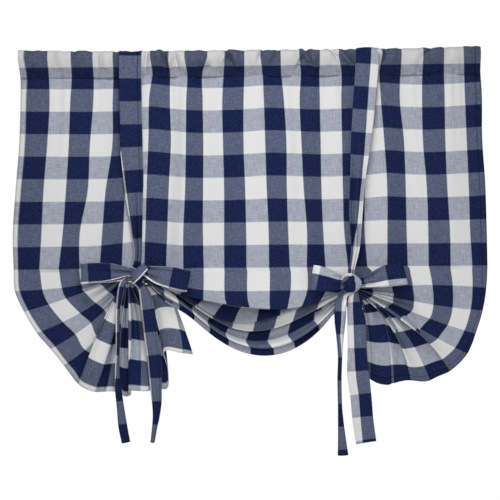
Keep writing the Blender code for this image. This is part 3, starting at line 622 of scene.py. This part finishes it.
# The ties, each one strap from the pocket to its free end: its place across, down and in
# depth, its width, and the turn of that width in the front plane and its tilt toward the
# wall, both in degrees.
leftFrontRoute = (
    # x, down, y, width, turn, tilt
    (-119.1, 2.9, -0.7, 22.0, 180, 0),
    (-119.1, 3.6, -5.0, 22.2, 180, 0),
    (-119.1, 7.5, -8.3, 22.2, 180, 0),
    (-119.1, 15.0, -8.8, 22.4, 180, 0),
    (-119.1, 40.0, -7.6, 22.2, 180, 0),
    (-118.3, 77.0, -7.2, 22.2, 180, 0),
    (-118.0, 99.0, -7.2, 22.4, 180, 0),
    (-116.4, 124.0, -7.4, 20.8, 180, 0),
    (-114.8, 153.0, -8.2, 16.6, 180, 0),
    (-112.5, 185.0, -9.8, 10.4, 180, 0),
    (-111.4, 206.0, -11.2, 7.4, 192, 0),
    (-114.5, 221.0, -12.8, 8.5, 240, 0),
    (-127.0, 225.5, -13.4, 13.0, 270, 0),
    (-146.0, 225.5, -14.0, 18.0, 270, 0),
    (-160.0, 224.8, -14.8, 19.5, 270, 0),
    (-165.5, 224.8, -15.6, 20.0, 270, 0),
    (-167.5, 225.0, -17.6, 20.0, 270, 0),
    (-165.5, 224.9, -19.6, 20.0, 269, 0),
    (-160.0, 224.6, -20.2, 20.0, 268, 0),
    (-146.0, 223.9, -20.8, 19.0, 270, 0),
    (-134.0, 223.2, -20.4, 15.5, 272, 0),
    (-122.0, 223.2, -19.2, 9.0, 272, 0),
    (-114.5, 225.5, -17.6, 7.0, 250, 0),
    (-116.5, 230.0, -16.8, 6.5, 210, 0),
    (-123.0, 231.5, -17.0, 6.5, 190, 0),
    (-127.6, 238.0, -17.2, 5.5, 182, 0),
    (-130.0, 252.0, -17.4, 4.4, 180, 0),
    (-131.4, 268.0, -17.6, 3.4, 180, 5),
    (-131.6, 302.0, -17.8, 3.2, 180, 10),
    (-132.0, 324.0, -17.6, 4.0, 180, 10),
    (-131.3, 338.0, -17.6, 6.0, 182, 10),
    (-129.2, 356.0, -17.4, 6.8, 184, 10),
    (-126.4, 376.0, -17.2, 8.4, 190, 5),
    (-123.2, 392.5, -17.0, 8.0, 198, 5),
)
leftBackRoute = (
    # x, down, y, width, turn, tilt
    (-119.0, 2.9, 0.7, 22.0, 0, 0),
    (-119.0, 3.6, 5.0, 22.0, 0, 0),
    (-119.0, 7.5, 8.3, 22.0, 0, 0),
    (-119.0, 15.0, 8.8, 22.0, 0, 0),
    (-118.0, 60.0, 7.4, 21.0, 0, 0),
    (-116.5, 120.0, 7.6, 18.0, 0, 0),
    (-114.0, 170.0, 8.4, 13.0, 0, 0),
    (-112.6, 208.0, 9.6, 8.0, 0, 0),
    (-112.0, 228.0, 10.4, 6.5, 0, 0),
    (-111.6, 236.0, 9.6, 5.0, 0, 0),
    (-111.4, 239.6, 6.0, 5.0, 0, 0),
    (-111.4, 240.6, -0.5, 5.0, 0, 0),
    (-111.4, 239.4, -6.4, 5.0, 0, 0),
    (-111.2, 236.4, -9.4, 6.0, 0, 0),
    (-110.8, 230.6, -9.6, 8.0, -12, 0),
    (-107.5, 226.5, -9.6, 9.0, -55, 0),
    (-99.0, 226.0, -9.8, 12.0, -90, 0),
    (-86.0, 229.0, -12.4, 17.0, -100, 0),
    (-72.0, 232.0, -15.8, 20.5, -104, 0),
    (-64.5, 232.6, -17.2, 21.0, -104, 0),
    (-61.5, 232.4, -19.5, 21.0, -104, 0),
    (-64.0, 232.0, -21.8, 21.5, -104, 0),
    (-78.0, 228.9, -23.6, 21.0, -104, 0),
    (-90.0, 226.4, -24.2, 18.0, -100, 0),
    (-100.0, 223.2, -22.6, 12.0, -92, 0),
    (-104.5, 221.0, -21.5, 8.0, -80, 0),
    (-104.0, 218.4, -21.5, 7.0, -60, 0),
    (-103.8, 218.8, -24.0, 7.4, -42, 0),
    (-106.8, 221.6, -25.8, 8.2, -42, 0),
    (-110.6, 225.6, -26.2, 8.6, -38, 0),
    (-113.8, 229.0, -25.0, 8.2, -36, 0),
    (-113.8, 232.6, -21.5, 6.5, -90, 0),
    (-109.4, 236.4, -20.0, 6.5, -150, 0),
    (-105.6, 241.5, -20.4, 9.0, -170, 0),
    (-102.6, 251.7, -21.0, 12.4, -174, 5),
    (-100.3, 266.7, -21.4, 13.4, -175, 5),
    (-98.0, 287.0, -21.6, 13.4, -176, 5),
    (-94.9, 308.7, -21.6, 14.0, -178, 5),
    (-93.6, 331.7, -21.4, 11.8, -182, 5),
    (-92.8, 351.7, -21.2, 9.4, -188, 10),
    (-93.6, 366.0, -21.0, 6.4, -192, 15),
    (-95.4, 378.0, -21.0, 4.2, -196, 20),
    (-97.4, 391.7, -21.0, 2.6, -196, 25),
)
rightFrontRoute = (
    # x, down, y, width, turn, tilt
    (117.0, 0.5, -0.7, 22.6, 0, 0),
    (117.0, 1.3, -5.0, 22.8, 0, 0),
    (116.9, 5.4, -8.3, 22.8, 0, 0),
    (116.7, 13.0, -8.6, 23.2, 0, 0),
    (115.0, 38.0, -7.8, 22.5, 0, 0),
    (113.2, 61.0, -7.4, 22.0, 0, 0),
    (110.2, 97.0, -7.4, 19.7, 0, 0),
    (107.1, 131.0, -8.0, 15.0, 0, 0),
    (105.2, 165.0, -9.0, 13.2, 0, 0),
    (104.8, 198.0, -11.0, 8.4, 0, 0),
    (100.8, 225.0, -12.4, 5.0, -10, 0),
    (106.0, 234.2, -13.0, 8.0, -70, 0),
    (117.0, 233.5, -13.4, 12.0, -82, 0),
    (130.0, 230.6, -14.0, 16.5, -78, 0),
    (143.0, 227.4, -14.8, 20.0, -76, 0),
    (149.5, 226.2, -15.7, 21.0, -74, 0),
    (152.4, 225.8, -17.8, 21.0, -72, 0),
    (149.5, 225.6, -19.9, 21.0, -72, 0),
    (143.0, 225.6, -20.6, 21.5, -74, 0),
    (133.0, 227.4, -20.8, 20.0, -76, 0),
    (123.0, 230.4, -20.2, 15.5, -80, 0),
    (113.0, 233.2, -19.0, 10.5, -86, 0),
    (106.0, 236.6, -17.8, 8.0, -105, 0),
    (103.0, 243.0, -17.4, 8.0, -150, 0),
    (103.2, 255.0, -17.4, 13.0, -178, 0),
    (105.6, 275.0, -17.6, 18.0, -180, 0),
    (106.0, 300.0, -17.8, 18.4, -180, 0),
    (106.8, 323.0, -17.8, 21.4, -180, 0),
    (109.7, 347.0, -17.6, 20.8, -178, 0),
    (111.7, 370.0, -17.4, 20.6, -176, 0),
    (115.0, 392.2, -17.2, 20.0, -174, 0),
)
rightBackRoute = (
    # x, down, y, width, turn, tilt
    (117.2, 0.5, 0.7, 22.4, 0, 0),
    (117.2, 1.3, 5.0, 22.6, 0, 0),
    (117.0, 5.4, 8.3, 22.6, 0, 0),
    (116.9, 13.0, 8.6, 22.6, 0, 0),
    (113.6, 60.0, 7.4, 21.0, 0, 0),
    (108.8, 120.0, 7.6, 17.0, 0, 0),
    (104.6, 180.0, 8.4, 12.0, 0, 0),
    (102.4, 220.0, 9.6, 8.0, 0, 0),
    (102.0, 244.0, 10.4, 6.5, 0, 0),
    (102.0, 258.0, 9.6, 6.0, 0, 0),
    (102.0, 263.6, 5.0, 6.0, 0, 0),
    (102.0, 264.8, -1.0, 6.0, 0, 0),
    (102.0, 262.8, -6.6, 6.0, 0, 0),
    (101.8, 256.0, -9.4, 6.5, 0, 0),
    (100.6, 247.0, -9.6, 8.0, 12, 0),
    (96.0, 240.6, -9.6, 9.0, 55, 0),
    (88.0, 238.0, -9.8, 12.5, 80, 0),
    (78.0, 234.0, -12.4, 18.0, 82, 0),
    (69.0, 230.6, -15.8, 23.0, 82, 0),
    (64.6, 229.4, -17.0, 24.0, 80, 0),
    (62.0, 229.0, -19.2, 24.5, 80, 0),
    (64.2, 229.0, -21.4, 24.5, 80, 0),
    (70.0, 230.2, -23.0, 24.0, 80, 0),
    (78.0, 231.8, -23.8, 21.5, 78, 0),
    (86.0, 232.8, -23.6, 16.5, 74, 0),
    (92.5, 233.2, -22.6, 11.0, 68, 0),
    (97.0, 230.0, -22.4, 10.0, 45, 0),
    (99.4, 230.4, -24.2, 13.0, 12, 0),
    (100.2, 233.0, -25.5, 18.0, 4, 0),
    (100.2, 236.2, -25.5, 18.0, 0, 0),
    (98.6, 239.2, -24.0, 13.0, -6, 0),
    (93.0, 244.4, -21.4, 8.0, -16, 0),
    (89.8, 253.0, -21.0, 11.0, -8, 0),
    (89.0, 270.0, -21.4, 10.6, 0, 0),
    (89.0, 287.0, -21.6, 6.8, 0, 0),
    (89.6, 307.0, -21.4, 3.5, 0, 10),
    (89.3, 330.0, -21.2, 2.8, 0, 20),
    (89.8, 354.0, -21.2, 2.8, 0, 20),
    (90.3, 370.0, -21.0, 4.8, 3, 10),
    (91.2, 388.0, -21.0, 7.2, 4, 5),
    (92.0, 404.5, -20.8, 10.0, 4, 0),
)

# What differs between the ties. rows is where the check falls: from a station on, the station
# where it is set and the row of the cloth there. The cloth inside a knot isn't seen, so the
# rows start again past it. whiteSeen is how many steps of the strap's white side show at each
# station, the rest being creased away. knot is the two stations it lies between and its bulge.
ties = {
    "tie_left_front": {
        "route": leftFrontRoute,
        "fullWidth": 24.8,
        "firstColumn": 0.26,
        "rows": ((0, 2, 1.97), (11, 19, 13.614), (22, 29.4, 21.06)),
        "knot": (22, 23, 0.05),
        "whiteSeen": (
            (0, 0.02), (6.2, 0.05), (7, 1.2), (8, 1.8), (9, 1.2), (10, 0.9), (13, 1.4), (20, 1.4),
            (26, 1.7), (29, 1.5), (31, 0.6),
        ),
    },
    "tie_left_back": {
        "route": leftBackRoute,
        "fullWidth": 24.8,
        "firstColumn": 0.26,
        "rows": ((0, 2, 1.97), (15, 22, 16.0), (26.5, 28.6, 18.5), (31, 34.6, 21.0)),
        "knot": (27, 30, 0.2),
        "whiteSeen": (
            (0, 0.02), (14, 0.05), (17, 1.4), (28, 1.4), (33, 1.8), (38, 1.8), (40, 0.6), (42, 0.4),
        ),
    },
    "tie_right_front": {
        "route": rightFrontRoute,
        "fullWidth": 25.0,
        "firstColumn": 0.56,
        "rows": ((0, 3, 1.846), (11, 18.8, 16.0), (22, 26, 19.06)),
        "knot": (22, 23, 0.05),
        "whiteSeen": (
            (0, 7.0), (3, 8.2), (4, 8.0), (5, 7.5), (6, 5.8), (7, 2.8), (8, 4.0), (9, 6.5), (10, 3.0),
            (13, 5.0), (15, 6.5), (19, 5.5), (21, 3.0), (24, 5.0), (26, 6.2), (27, 8.5), (29, 8.1),
            (30, 6.3),
        ),
    },
    "tie_right_back": {
        "route": rightBackRoute,
        "fullWidth": 25.0,
        "firstColumn": 0.56,
        "rows": ((0, 3, 1.846), (15, 21.6, 17.0), (26.5, 28.4, 19.5), (31, 34, 18.1)),
        "knot": (27, 30, 0.22),
        "whiteSeen": (
            (0, 7.0), (8, 3.0), (15, 3.5), (18, 8.0), (22, 8.2), (24, 6.5), (25, 3.0), (26, 1.6),
            (27, 3.0), (28, 6.4), (29, 5.6), (30, 1.6), (32, 5.0), (33, 4.4), (34, 3.4), (35, 0.8),
            (36, 0.2), (37, 0.2), (40, 0.2),
        ),
    },
}
tie = {
    "thickness": 0.0016,  # two layers of the cloth
    "samplesPerStation": 8,
    "samplesAcross": 25,
    "cup": 0.05,  # how far a flat stretch bows out, as a share of its width
    "heldWidth": 0.8,  # the share of the full width that can be creased away
    "creaseLength": 8.0,  # a crease's width to its depth, and its most depth in steps
    "mostCrease": 1.9,
    "curlLength": 5.0,  # the same for a tail's curled edge, and how close to the edge it turns
    "mostCurl": 4.6,
    "curlPower": 5,
    "leastWhite": 0.1,  # steps of the white side, below which the strap is dark to its edge
    "darkUpTo": 1.2,
}


def smoothRoute(route):  # stations of a smooth curve through the route
    table = np.array(route, float)
    last = len(table) - 1
    spots = np.linspace(0.0, last, last * tie["samplesPerStation"] + 1)
    low = np.minimum(spots.astype(int), last - 1)
    start, leave, end, arrive = cubicWeights((spots - low)[:, None])
    a, b = table[np.maximum(low - 1, 0)], table[low]
    c, d = table[low + 1], table[np.minimum(low + 2, last)]
    return spots, start * b + leave * (c - a) / 2.0 + end * c + arrive * (d - b) / 2.0


def unitRows(vectors):  # each row made one long
    return vectors / np.linalg.norm(vectors, axis=-1, keepdims=True)


def makeTie(name, facts):  # the tie's object and its flat size
    spots, stations = smoothRoute(facts["route"])
    centre = place(stations[:, 0], stations[:, 1], stations[:, 2])
    forward = unitRows(np.gradient(centre, axis=0))
    turn, tilt = np.radians(stations[:, 4]), np.radians(stations[:, 5])
    width = np.stack([np.cos(turn) * np.cos(tilt), np.sin(tilt), np.sin(turn) * np.cos(tilt)], axis=-1)
    width = unitRows(width - (width * forward).sum(-1, keepdims=True) * forward)
    normal = np.cross(forward, width)
    arc = np.concatenate([[0.0], np.cumsum(np.linalg.norm(np.diff(centre, axis=0), axis=1))]) / step
    rows = np.zeros(len(arc))
    for start, anchor, value in facts["rows"]:
        here = spots >= start
        rows[here] = value + (arc[here] - np.interp(anchor, spots, arc)) / cloth["stepsPerCheck"]

    # The strap's own form: it narrows in long creases, swells in the knot, and past the
    # knot a tail's edges curl toward the wall.
    full = facts["fullWidth"]
    share = np.linspace(-0.5, 0.5, tie["samplesAcross"])[None, :]
    seen = stations[:, 3][:, None]
    spare = np.sqrt(np.maximum((tie["heldWidth"] * full) ** 2 - seen**2, 0.0))
    crease = np.minimum(spare / tie["creaseLength"], tie["mostCrease"])
    edge = np.abs(2.0 * share) ** tie["curlPower"]
    curl = np.minimum(spare / tie["curlLength"], tie["mostCurl"]) * edge
    first, last, bulge = facts["knot"]
    inKnot = riseAndFall(spots, first - 1.0, first, last, last + 1.0)[:, None]
    tailStart = facts["rows"][-1][0]
    tail = smoothStep(spots, tailStart, tailStart + 2.0)[:, None]
    toWall = np.sign(normal[:, 1:2])
    lift = (1.0 - tail) * crease * np.cos(4.0 * math.pi * share) + tail * toWall * curl
    cup = tie["cup"] + (bulge - tie["cup"]) * inKnot
    lift = lift * (1.0 - inKnot) + cup * seen * (1.0 - 4.0 * share**2)
    points = centre[:, None, :] + width[:, None, :] * (share * seen)[:, :, None] * step
    points = points + normal[:, None, :] * lift[:, :, None] * step

    # The cloth on it, the white side and the dark one each taking up their own creases.
    whiteFrom = cloth["darkFrom"] + 1.0
    white = full - (whiteFrom - facts["firstColumn"]) * cloth["stepsPerCheck"]
    shown = np.interp(spots, *zip(*facts["whiteSeen"]))[:, None]
    fromEdge = (0.5 - share) * seen
    darkSide = white + (fromEdge - shown) * (full - white) / (seen - shown)
    fromEdge = np.where(fromEdge < shown, fromEdge * white / shown, darkSide)
    column = facts["firstColumn"] + (full - fromEdge) / cloth["stepsPerCheck"]
    column = np.where(shown < tie["leastWhite"], np.minimum(column, tie["darkUpTo"]), column)
    row = np.broadcast_to(rows[:, None], column.shape)
    obj = sheetObject(name + "_cloth", points, column, row)
    thicken(obj, tie["thickness"])
    return obj, (full * step, float(arc[-1]) * step)


tieObjects = {name: makeTie(name, facts) for name, facts in ties.items()}
print("ties done")

# The weave: dark and white threads, and what they make where they cross. Sizes in millimetres.
weave = {
    "colours": {
        "navy": "#121F46",
        "darkOverLight": "#57607A",
        "lightOverDark": "#AAAFBD",
        "white": "#EAEAEA",
        "navyFleck": "#3E4A76",
        "mixedFleck": "#8D94A8",
    },
    "edgeBlur": 0.06,  # how soft the edge of a check is, as a share of its wave
    "threadSpacing": 25.4 / 28,  # 56 threads to the inch, drawn twice as wide so that they show
    "threadRelief": 0.3,
    "reliefStrength": 0.5,
    "fleckWidth": 3.38667,  # where white shows through, about 1 mm, drawn wider so that it shows
    "fleckRange": (0.48, 0.72),
    "fleckShare": 0.38,
    "slubWidth": 2.82222,  # thick places in the yarn, about 1 mm, drawn wider in the same way
    "slubLength": 20.32,
    "slubInWhite": 0.041,  # how much they show in a white block and in any other
    "slubInDyed": 0.68,
    "sideHem": 12.7,  # the sewn lines, from the cloth's edge or the pocket's seam
    "lowerHem": 18.29,
    "pocketSeam": 1.524,
    "lineHalfWidth": 1.118,  # stitches 0.5 mm wide, drawn wider so that they show
    "lineFade": 1.788,
    "lineShade": 0.62,
    "strapLineColumn": 0.44,
    "oneLayer": 1.0,
    "twoLayers": 0.82,  # painted shade: every colour of the pocket is darkened, for the less light that comes through its two layers
    "roughness": 0.9,
    "specular": 0.12,
}


def inChecks(size):  # from millimetres
    return size / (1000.0 * cloth["checkSize"])


def toLinear(hexColour):  # from the sRGB hex value
    parts = [int(hexColour[k : k + 2], 16) / 255.0 for k in (1, 3, 5)]
    return [p / 12.92 if p <= 0.04045 else ((p + 0.055) / 1.055) ** 2.4 for p in parts] + [1.0]


def addNode(tree, kind, settings=None, **inputs):  # an input is a socket's name, or in and its number
    node = tree.nodes.new("ShaderNode" + kind)
    for key, value in (settings or {}).items():
        setattr(node, key, value)
    for key, value in inputs.items():
        socket = node.inputs[int(key[2:])] if key.startswith("in") else node.inputs[key]
        if isinstance(value, bpy.types.NodeSocket):
            tree.links.new(value, socket)
        else:
            socket.default_value = value
    return node


def wovenCheck(name, paintedShade, sewnLines):  # paintedShade scales every colour down as painted shade; each sewn line is an axis and its place in checks
    material = bpy.data.materials.new(name)
    material.use_nodes = True
    tree = material.node_tree
    shader = tree.nodes["Principled BSDF"]
    clothMap = addNode(tree, "UVMap", {"uv_map": "clothMap"}).outputs[0]
    parts = addNode(tree, "SeparateXYZ", in0=clothMap).outputs

    dyed = []  # 1 where the thread is dark and 0 where it is white, both ways
    for axis, start, soft in ((0, cloth["darkFrom"], weave["edgeBlur"]), (1, 0.0, -weave["edgeBlur"])):
        fromEdge = addNode(tree, "Math", {"operation": "SUBTRACT"}, in0=parts[axis], in1=start)
        angle = addNode(tree, "Math", {"operation": "MULTIPLY"}, in0=fromEdge.outputs[0], in1=math.pi)
        wave = addNode(tree, "Math", {"operation": "SINE"}, in0=angle.outputs[0])
        dyed.append(addNode(tree, "MapRange", in0=wave.outputs[0], in1=-soft, in2=soft).outputs[0])
    warp, weft = dyed

    low, high = weave["fleckRange"]
    flecks = 1.0 / inChecks(weave["fleckWidth"])
    noise = addNode(tree, "TexNoise", Vector=clothMap, Scale=flecks, Detail=1.0)
    fleck = addNode(tree, "MapRange", in0=noise.outputs[0], in1=low, in2=high, in4=weave["fleckShare"])
    tones = {key: toLinear(value) for key, value in weave["colours"].items()}
    shares = {"fleck": fleck.outputs[0], "warp": warp, "weft": weft}
    for made, share, first, second in (
        ("navyBlock", "fleck", "navy", "navyFleck"),
        ("mediumBlock", "fleck", "darkOverLight", "mixedFleck"),
        ("darkWarp", "weft", "mediumBlock", "navyBlock"),
        ("whiteWarp", "weft", "white", "lightOverDark"),
        ("check", "warp", "whiteWarp", "darkWarp"),
    ):
        ends = {"in6": tones[first], "in7": tones[second]}
        tones[made] = addNode(tree, "Mix", {"data_type": "RGBA"}, in0=shares[share], **ends).outputs[2]

    slubs = []  # the uneven threads, which show most where a dark set crosses a white one
    across, along = 1.0 / inChecks(weave["slubWidth"]), 1.0 / inChecks(weave["slubLength"])
    for stretch in ((across, along, 1.0), (along, across, 1.0)):
        run = addNode(tree, "VectorMath", {"operation": "MULTIPLY"}, in0=clothMap, in1=stretch)
        slubs.append(addNode(tree, "TexNoise", Vector=run.outputs[0], Scale=1.0, Detail=2.0).outputs[0])
    slub = addNode(tree, "Math", {"operation": "ADD"}, in0=slubs[0], in1=slubs[1]).outputs[0]
    uneven = addNode(tree, "Math", {"operation": "SUBTRACT"}, in0=slub, in1=1.0).outputs[0]
    anyDyed = addNode(tree, "Math", {"operation": "MAXIMUM"}, in0=warp, in1=weft).outputs[0]
    limits = {"in3": weave["slubInWhite"], "in4": weave["slubInDyed"]}
    strength = addNode(tree, "MapRange", in0=anyDyed, **limits).outputs[0]
    # painted shade: the colour is scaled by paintedShade, which is below 1 for the pocket
    streak = addNode(tree, "Math", {"operation": "MULTIPLY_ADD"}, in0=uneven, in1=strength, in2=paintedShade)
    scales = [streak.outputs[0]]

    for axis, spot in sewnLines:
        away = addNode(tree, "Math", {"operation": "SUBTRACT"}, in0=parts[axis], in1=spot)
        apart = addNode(tree, "Math", {"operation": "ABSOLUTE"}, in0=away.outputs[0]).outputs[0]
        half, fade = inChecks(weave["lineHalfWidth"]), inChecks(weave["lineFade"])
        line = addNode(tree, "MapRange", in0=apart, in1=half, in2=fade, in3=weave["lineShade"])
        scales.append(line.outputs[0])
    colour = tones["check"]
    for scale in scales:
        colour = addNode(tree, "VectorMath", {"operation": "SCALE"}, in0=colour, Scale=scale).outputs[0]
    tree.links.new(colour, shader.inputs["Base Color"])

    turns = 2.0 * math.pi / inChecks(weave["threadSpacing"])
    threads = []
    for axis in (0, 1):
        phase = addNode(tree, "Math", {"operation": "MULTIPLY"}, in0=parts[axis], in1=turns)
        threads.append(addNode(tree, "Math", {"operation": "SINE"}, in0=phase.outputs[0]).outputs[0])
    crossing = addNode(tree, "Math", {"operation": "MULTIPLY"}, in0=threads[0], in1=threads[1])
    relief = addNode(tree, "Math", {"operation": "ADD"}, in0=crossing.outputs[0], in1=slub).outputs[0]
    size = {"Strength": weave["reliefStrength"], "Distance": weave["threadRelief"] / 1000.0}
    bump = addNode(tree, "Bump", Height=relief, **size)
    tree.links.new(bump.outputs[0], shader.inputs["Normal"])
    shader.inputs["Roughness"].default_value = weave["roughness"]
    shader.inputs["Specular IOR Level"].default_value = weave["specular"]
    return material


# Matt yarn-dyed cotton: the checks come from dark and white threads crossing, so the mixed
# blocks look streaked, and a darker line is sewn along each hem.
side = inChecks(weave["sideHem"])
sideHems = ((0, side), (0, cloth["checksAcross"] - side))
lowerHem = (1, cloth["hemRow"] - inChecks(weave["lowerHem"]))
pocketSeam = (1, cloth["stitchRow"] - inChecks(weave["pocketSeam"]))
panelCotton = wovenCheck("yarnDyedCottonPanel", weave["oneLayer"], (*sideHems, lowerHem))
# painted shade: the pocket's copy is the same cotton with every colour darkened
pocketCotton = wovenCheck("yarnDyedCottonPocket", weave["twoLayers"], (*sideHems, pocketSeam))
# The same cotton doubled and pressed flat for the straps, with a sewn line near one edge.
strapCotton = wovenCheck("pressedCottonStrap", weave["oneLayer"], ((0, weave["strapLineColumn"]),))

for obj, finish in ((panelObject, panelCotton), (headingObject, pocketCotton)):
    obj.data.materials.append(finish)
    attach(obj, "root")
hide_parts("panel")
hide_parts("heading")
for name, (obj, flat) in tieObjects.items():
    obj.data.materials.append(strapCotton)
    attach(obj, "root")
    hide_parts(name)
print("finishes done")

# The pale floor and backdrop, the lamps and the camera.
studio = {
    "floorDown": 0.36,  # below the lowest point of the cloth
    "floorRadius": 1.2,
    "paper": "#F2F2F2",
    "paperRoughness": 0.9,
    "roomLight": 0.30,
    "white": (1.0, 1.0, 1.0, 1.0),
    "lampsToward": (-0.004, 0.0, -0.435),  # the middle of the cloth
    "cameraAway": 3.4,
    "viewWidth": 1.1140,  # what the camera takes in, at the cloth
    "viewMiddleDown": 201.7,  # in drawing steps
    "sensor": 36.0,
}
lamps = {
    # power, size, place
    "keyLamp": (6.0, 0.6, (0.0, -1.2, -0.3)),
    "highLamp": (9.0, 0.5, (-0.2, -1.0, 0.95)),
    "fillLamp": (1.5, 0.9, (0.4, -1.2, -0.6)),
}

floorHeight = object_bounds()[0][2] - studio["floorDown"]
bpy.ops.mesh.primitive_circle_add(
    vertices=96, radius=studio["floorRadius"], fill_type="NGON", location=(0.0, 0.0, floorHeight)
)
floor = bpy.context.object
floor.name = "paleFloor"
paper = bpy.data.materials.new("paleStudioPaper")  # matt, so that it takes only soft shade
paper.use_nodes = True
paperShader = paper.node_tree.nodes["Principled BSDF"]
paperShader.inputs["Base Color"].default_value = toLinear(studio["paper"])
paperShader.inputs["Roughness"].default_value = studio["paperRoughness"]
floor.data.materials.append(paper)

world = bpy.data.worlds.new("studioWhite")
bpy.context.scene.world = world
world.use_nodes = True
room = world.node_tree
softLight = room.nodes["Background"]
softLight.inputs["Color"].default_value = studio["white"]
softLight.inputs["Strength"].default_value = studio["roomLight"]
seenWhite = addNode(room, "Background", Color=studio["white"], Strength=1.0)
rays = addNode(room, "LightPath")
lights = {"in1": softLight.outputs[0], "in2": seenWhite.outputs[0]}
both = addNode(room, "MixShader", in0=rays.outputs[0], **lights)
room.links.new(both.outputs[0], room.nodes["World Output"].inputs[0])
bpy.context.scene.view_settings.view_transform = "Standard"


def softLamp(name, power, size, at):
    lamp = bpy.data.lights.new(name, "AREA")
    lamp.energy = power
    lamp.shape = "DISK"
    lamp.size = size
    obj = bpy.data.objects.new(name, lamp)
    bpy.context.scene.collection.objects.link(obj)
    obj.location = at
    aim = [b - a for a, b in zip(at, studio["lampsToward"])]
    rise = math.atan2(aim[2], math.hypot(aim[0], aim[1]))
    obj.rotation_euler = (math.pi / 2.0 + rise, 0.0, math.atan2(-aim[0], aim[1]))


for name, (power, size, at) in lamps.items():
    softLamp(name, power, size, at)

camera = bpy.data.cameras.new("frontCamera")
camera.sensor_width = studio["sensor"]
camera.lens = studio["sensor"] * studio["cameraAway"] / studio["viewWidth"]
cameraObject = bpy.data.objects.new("frontCamera", camera)
bpy.context.scene.collection.objects.link(cameraObject)
middle = place(np.array(0.0), np.array(studio["viewMiddleDown"]), np.array(0.0))
cameraObject.location = (middle[0], -studio["cameraAway"], middle[2])
cameraObject.rotation_euler = (math.pi / 2.0, cloth["drawingLean"], 0.0)
bpy.context.scene.camera = cameraObject

print("scene done")
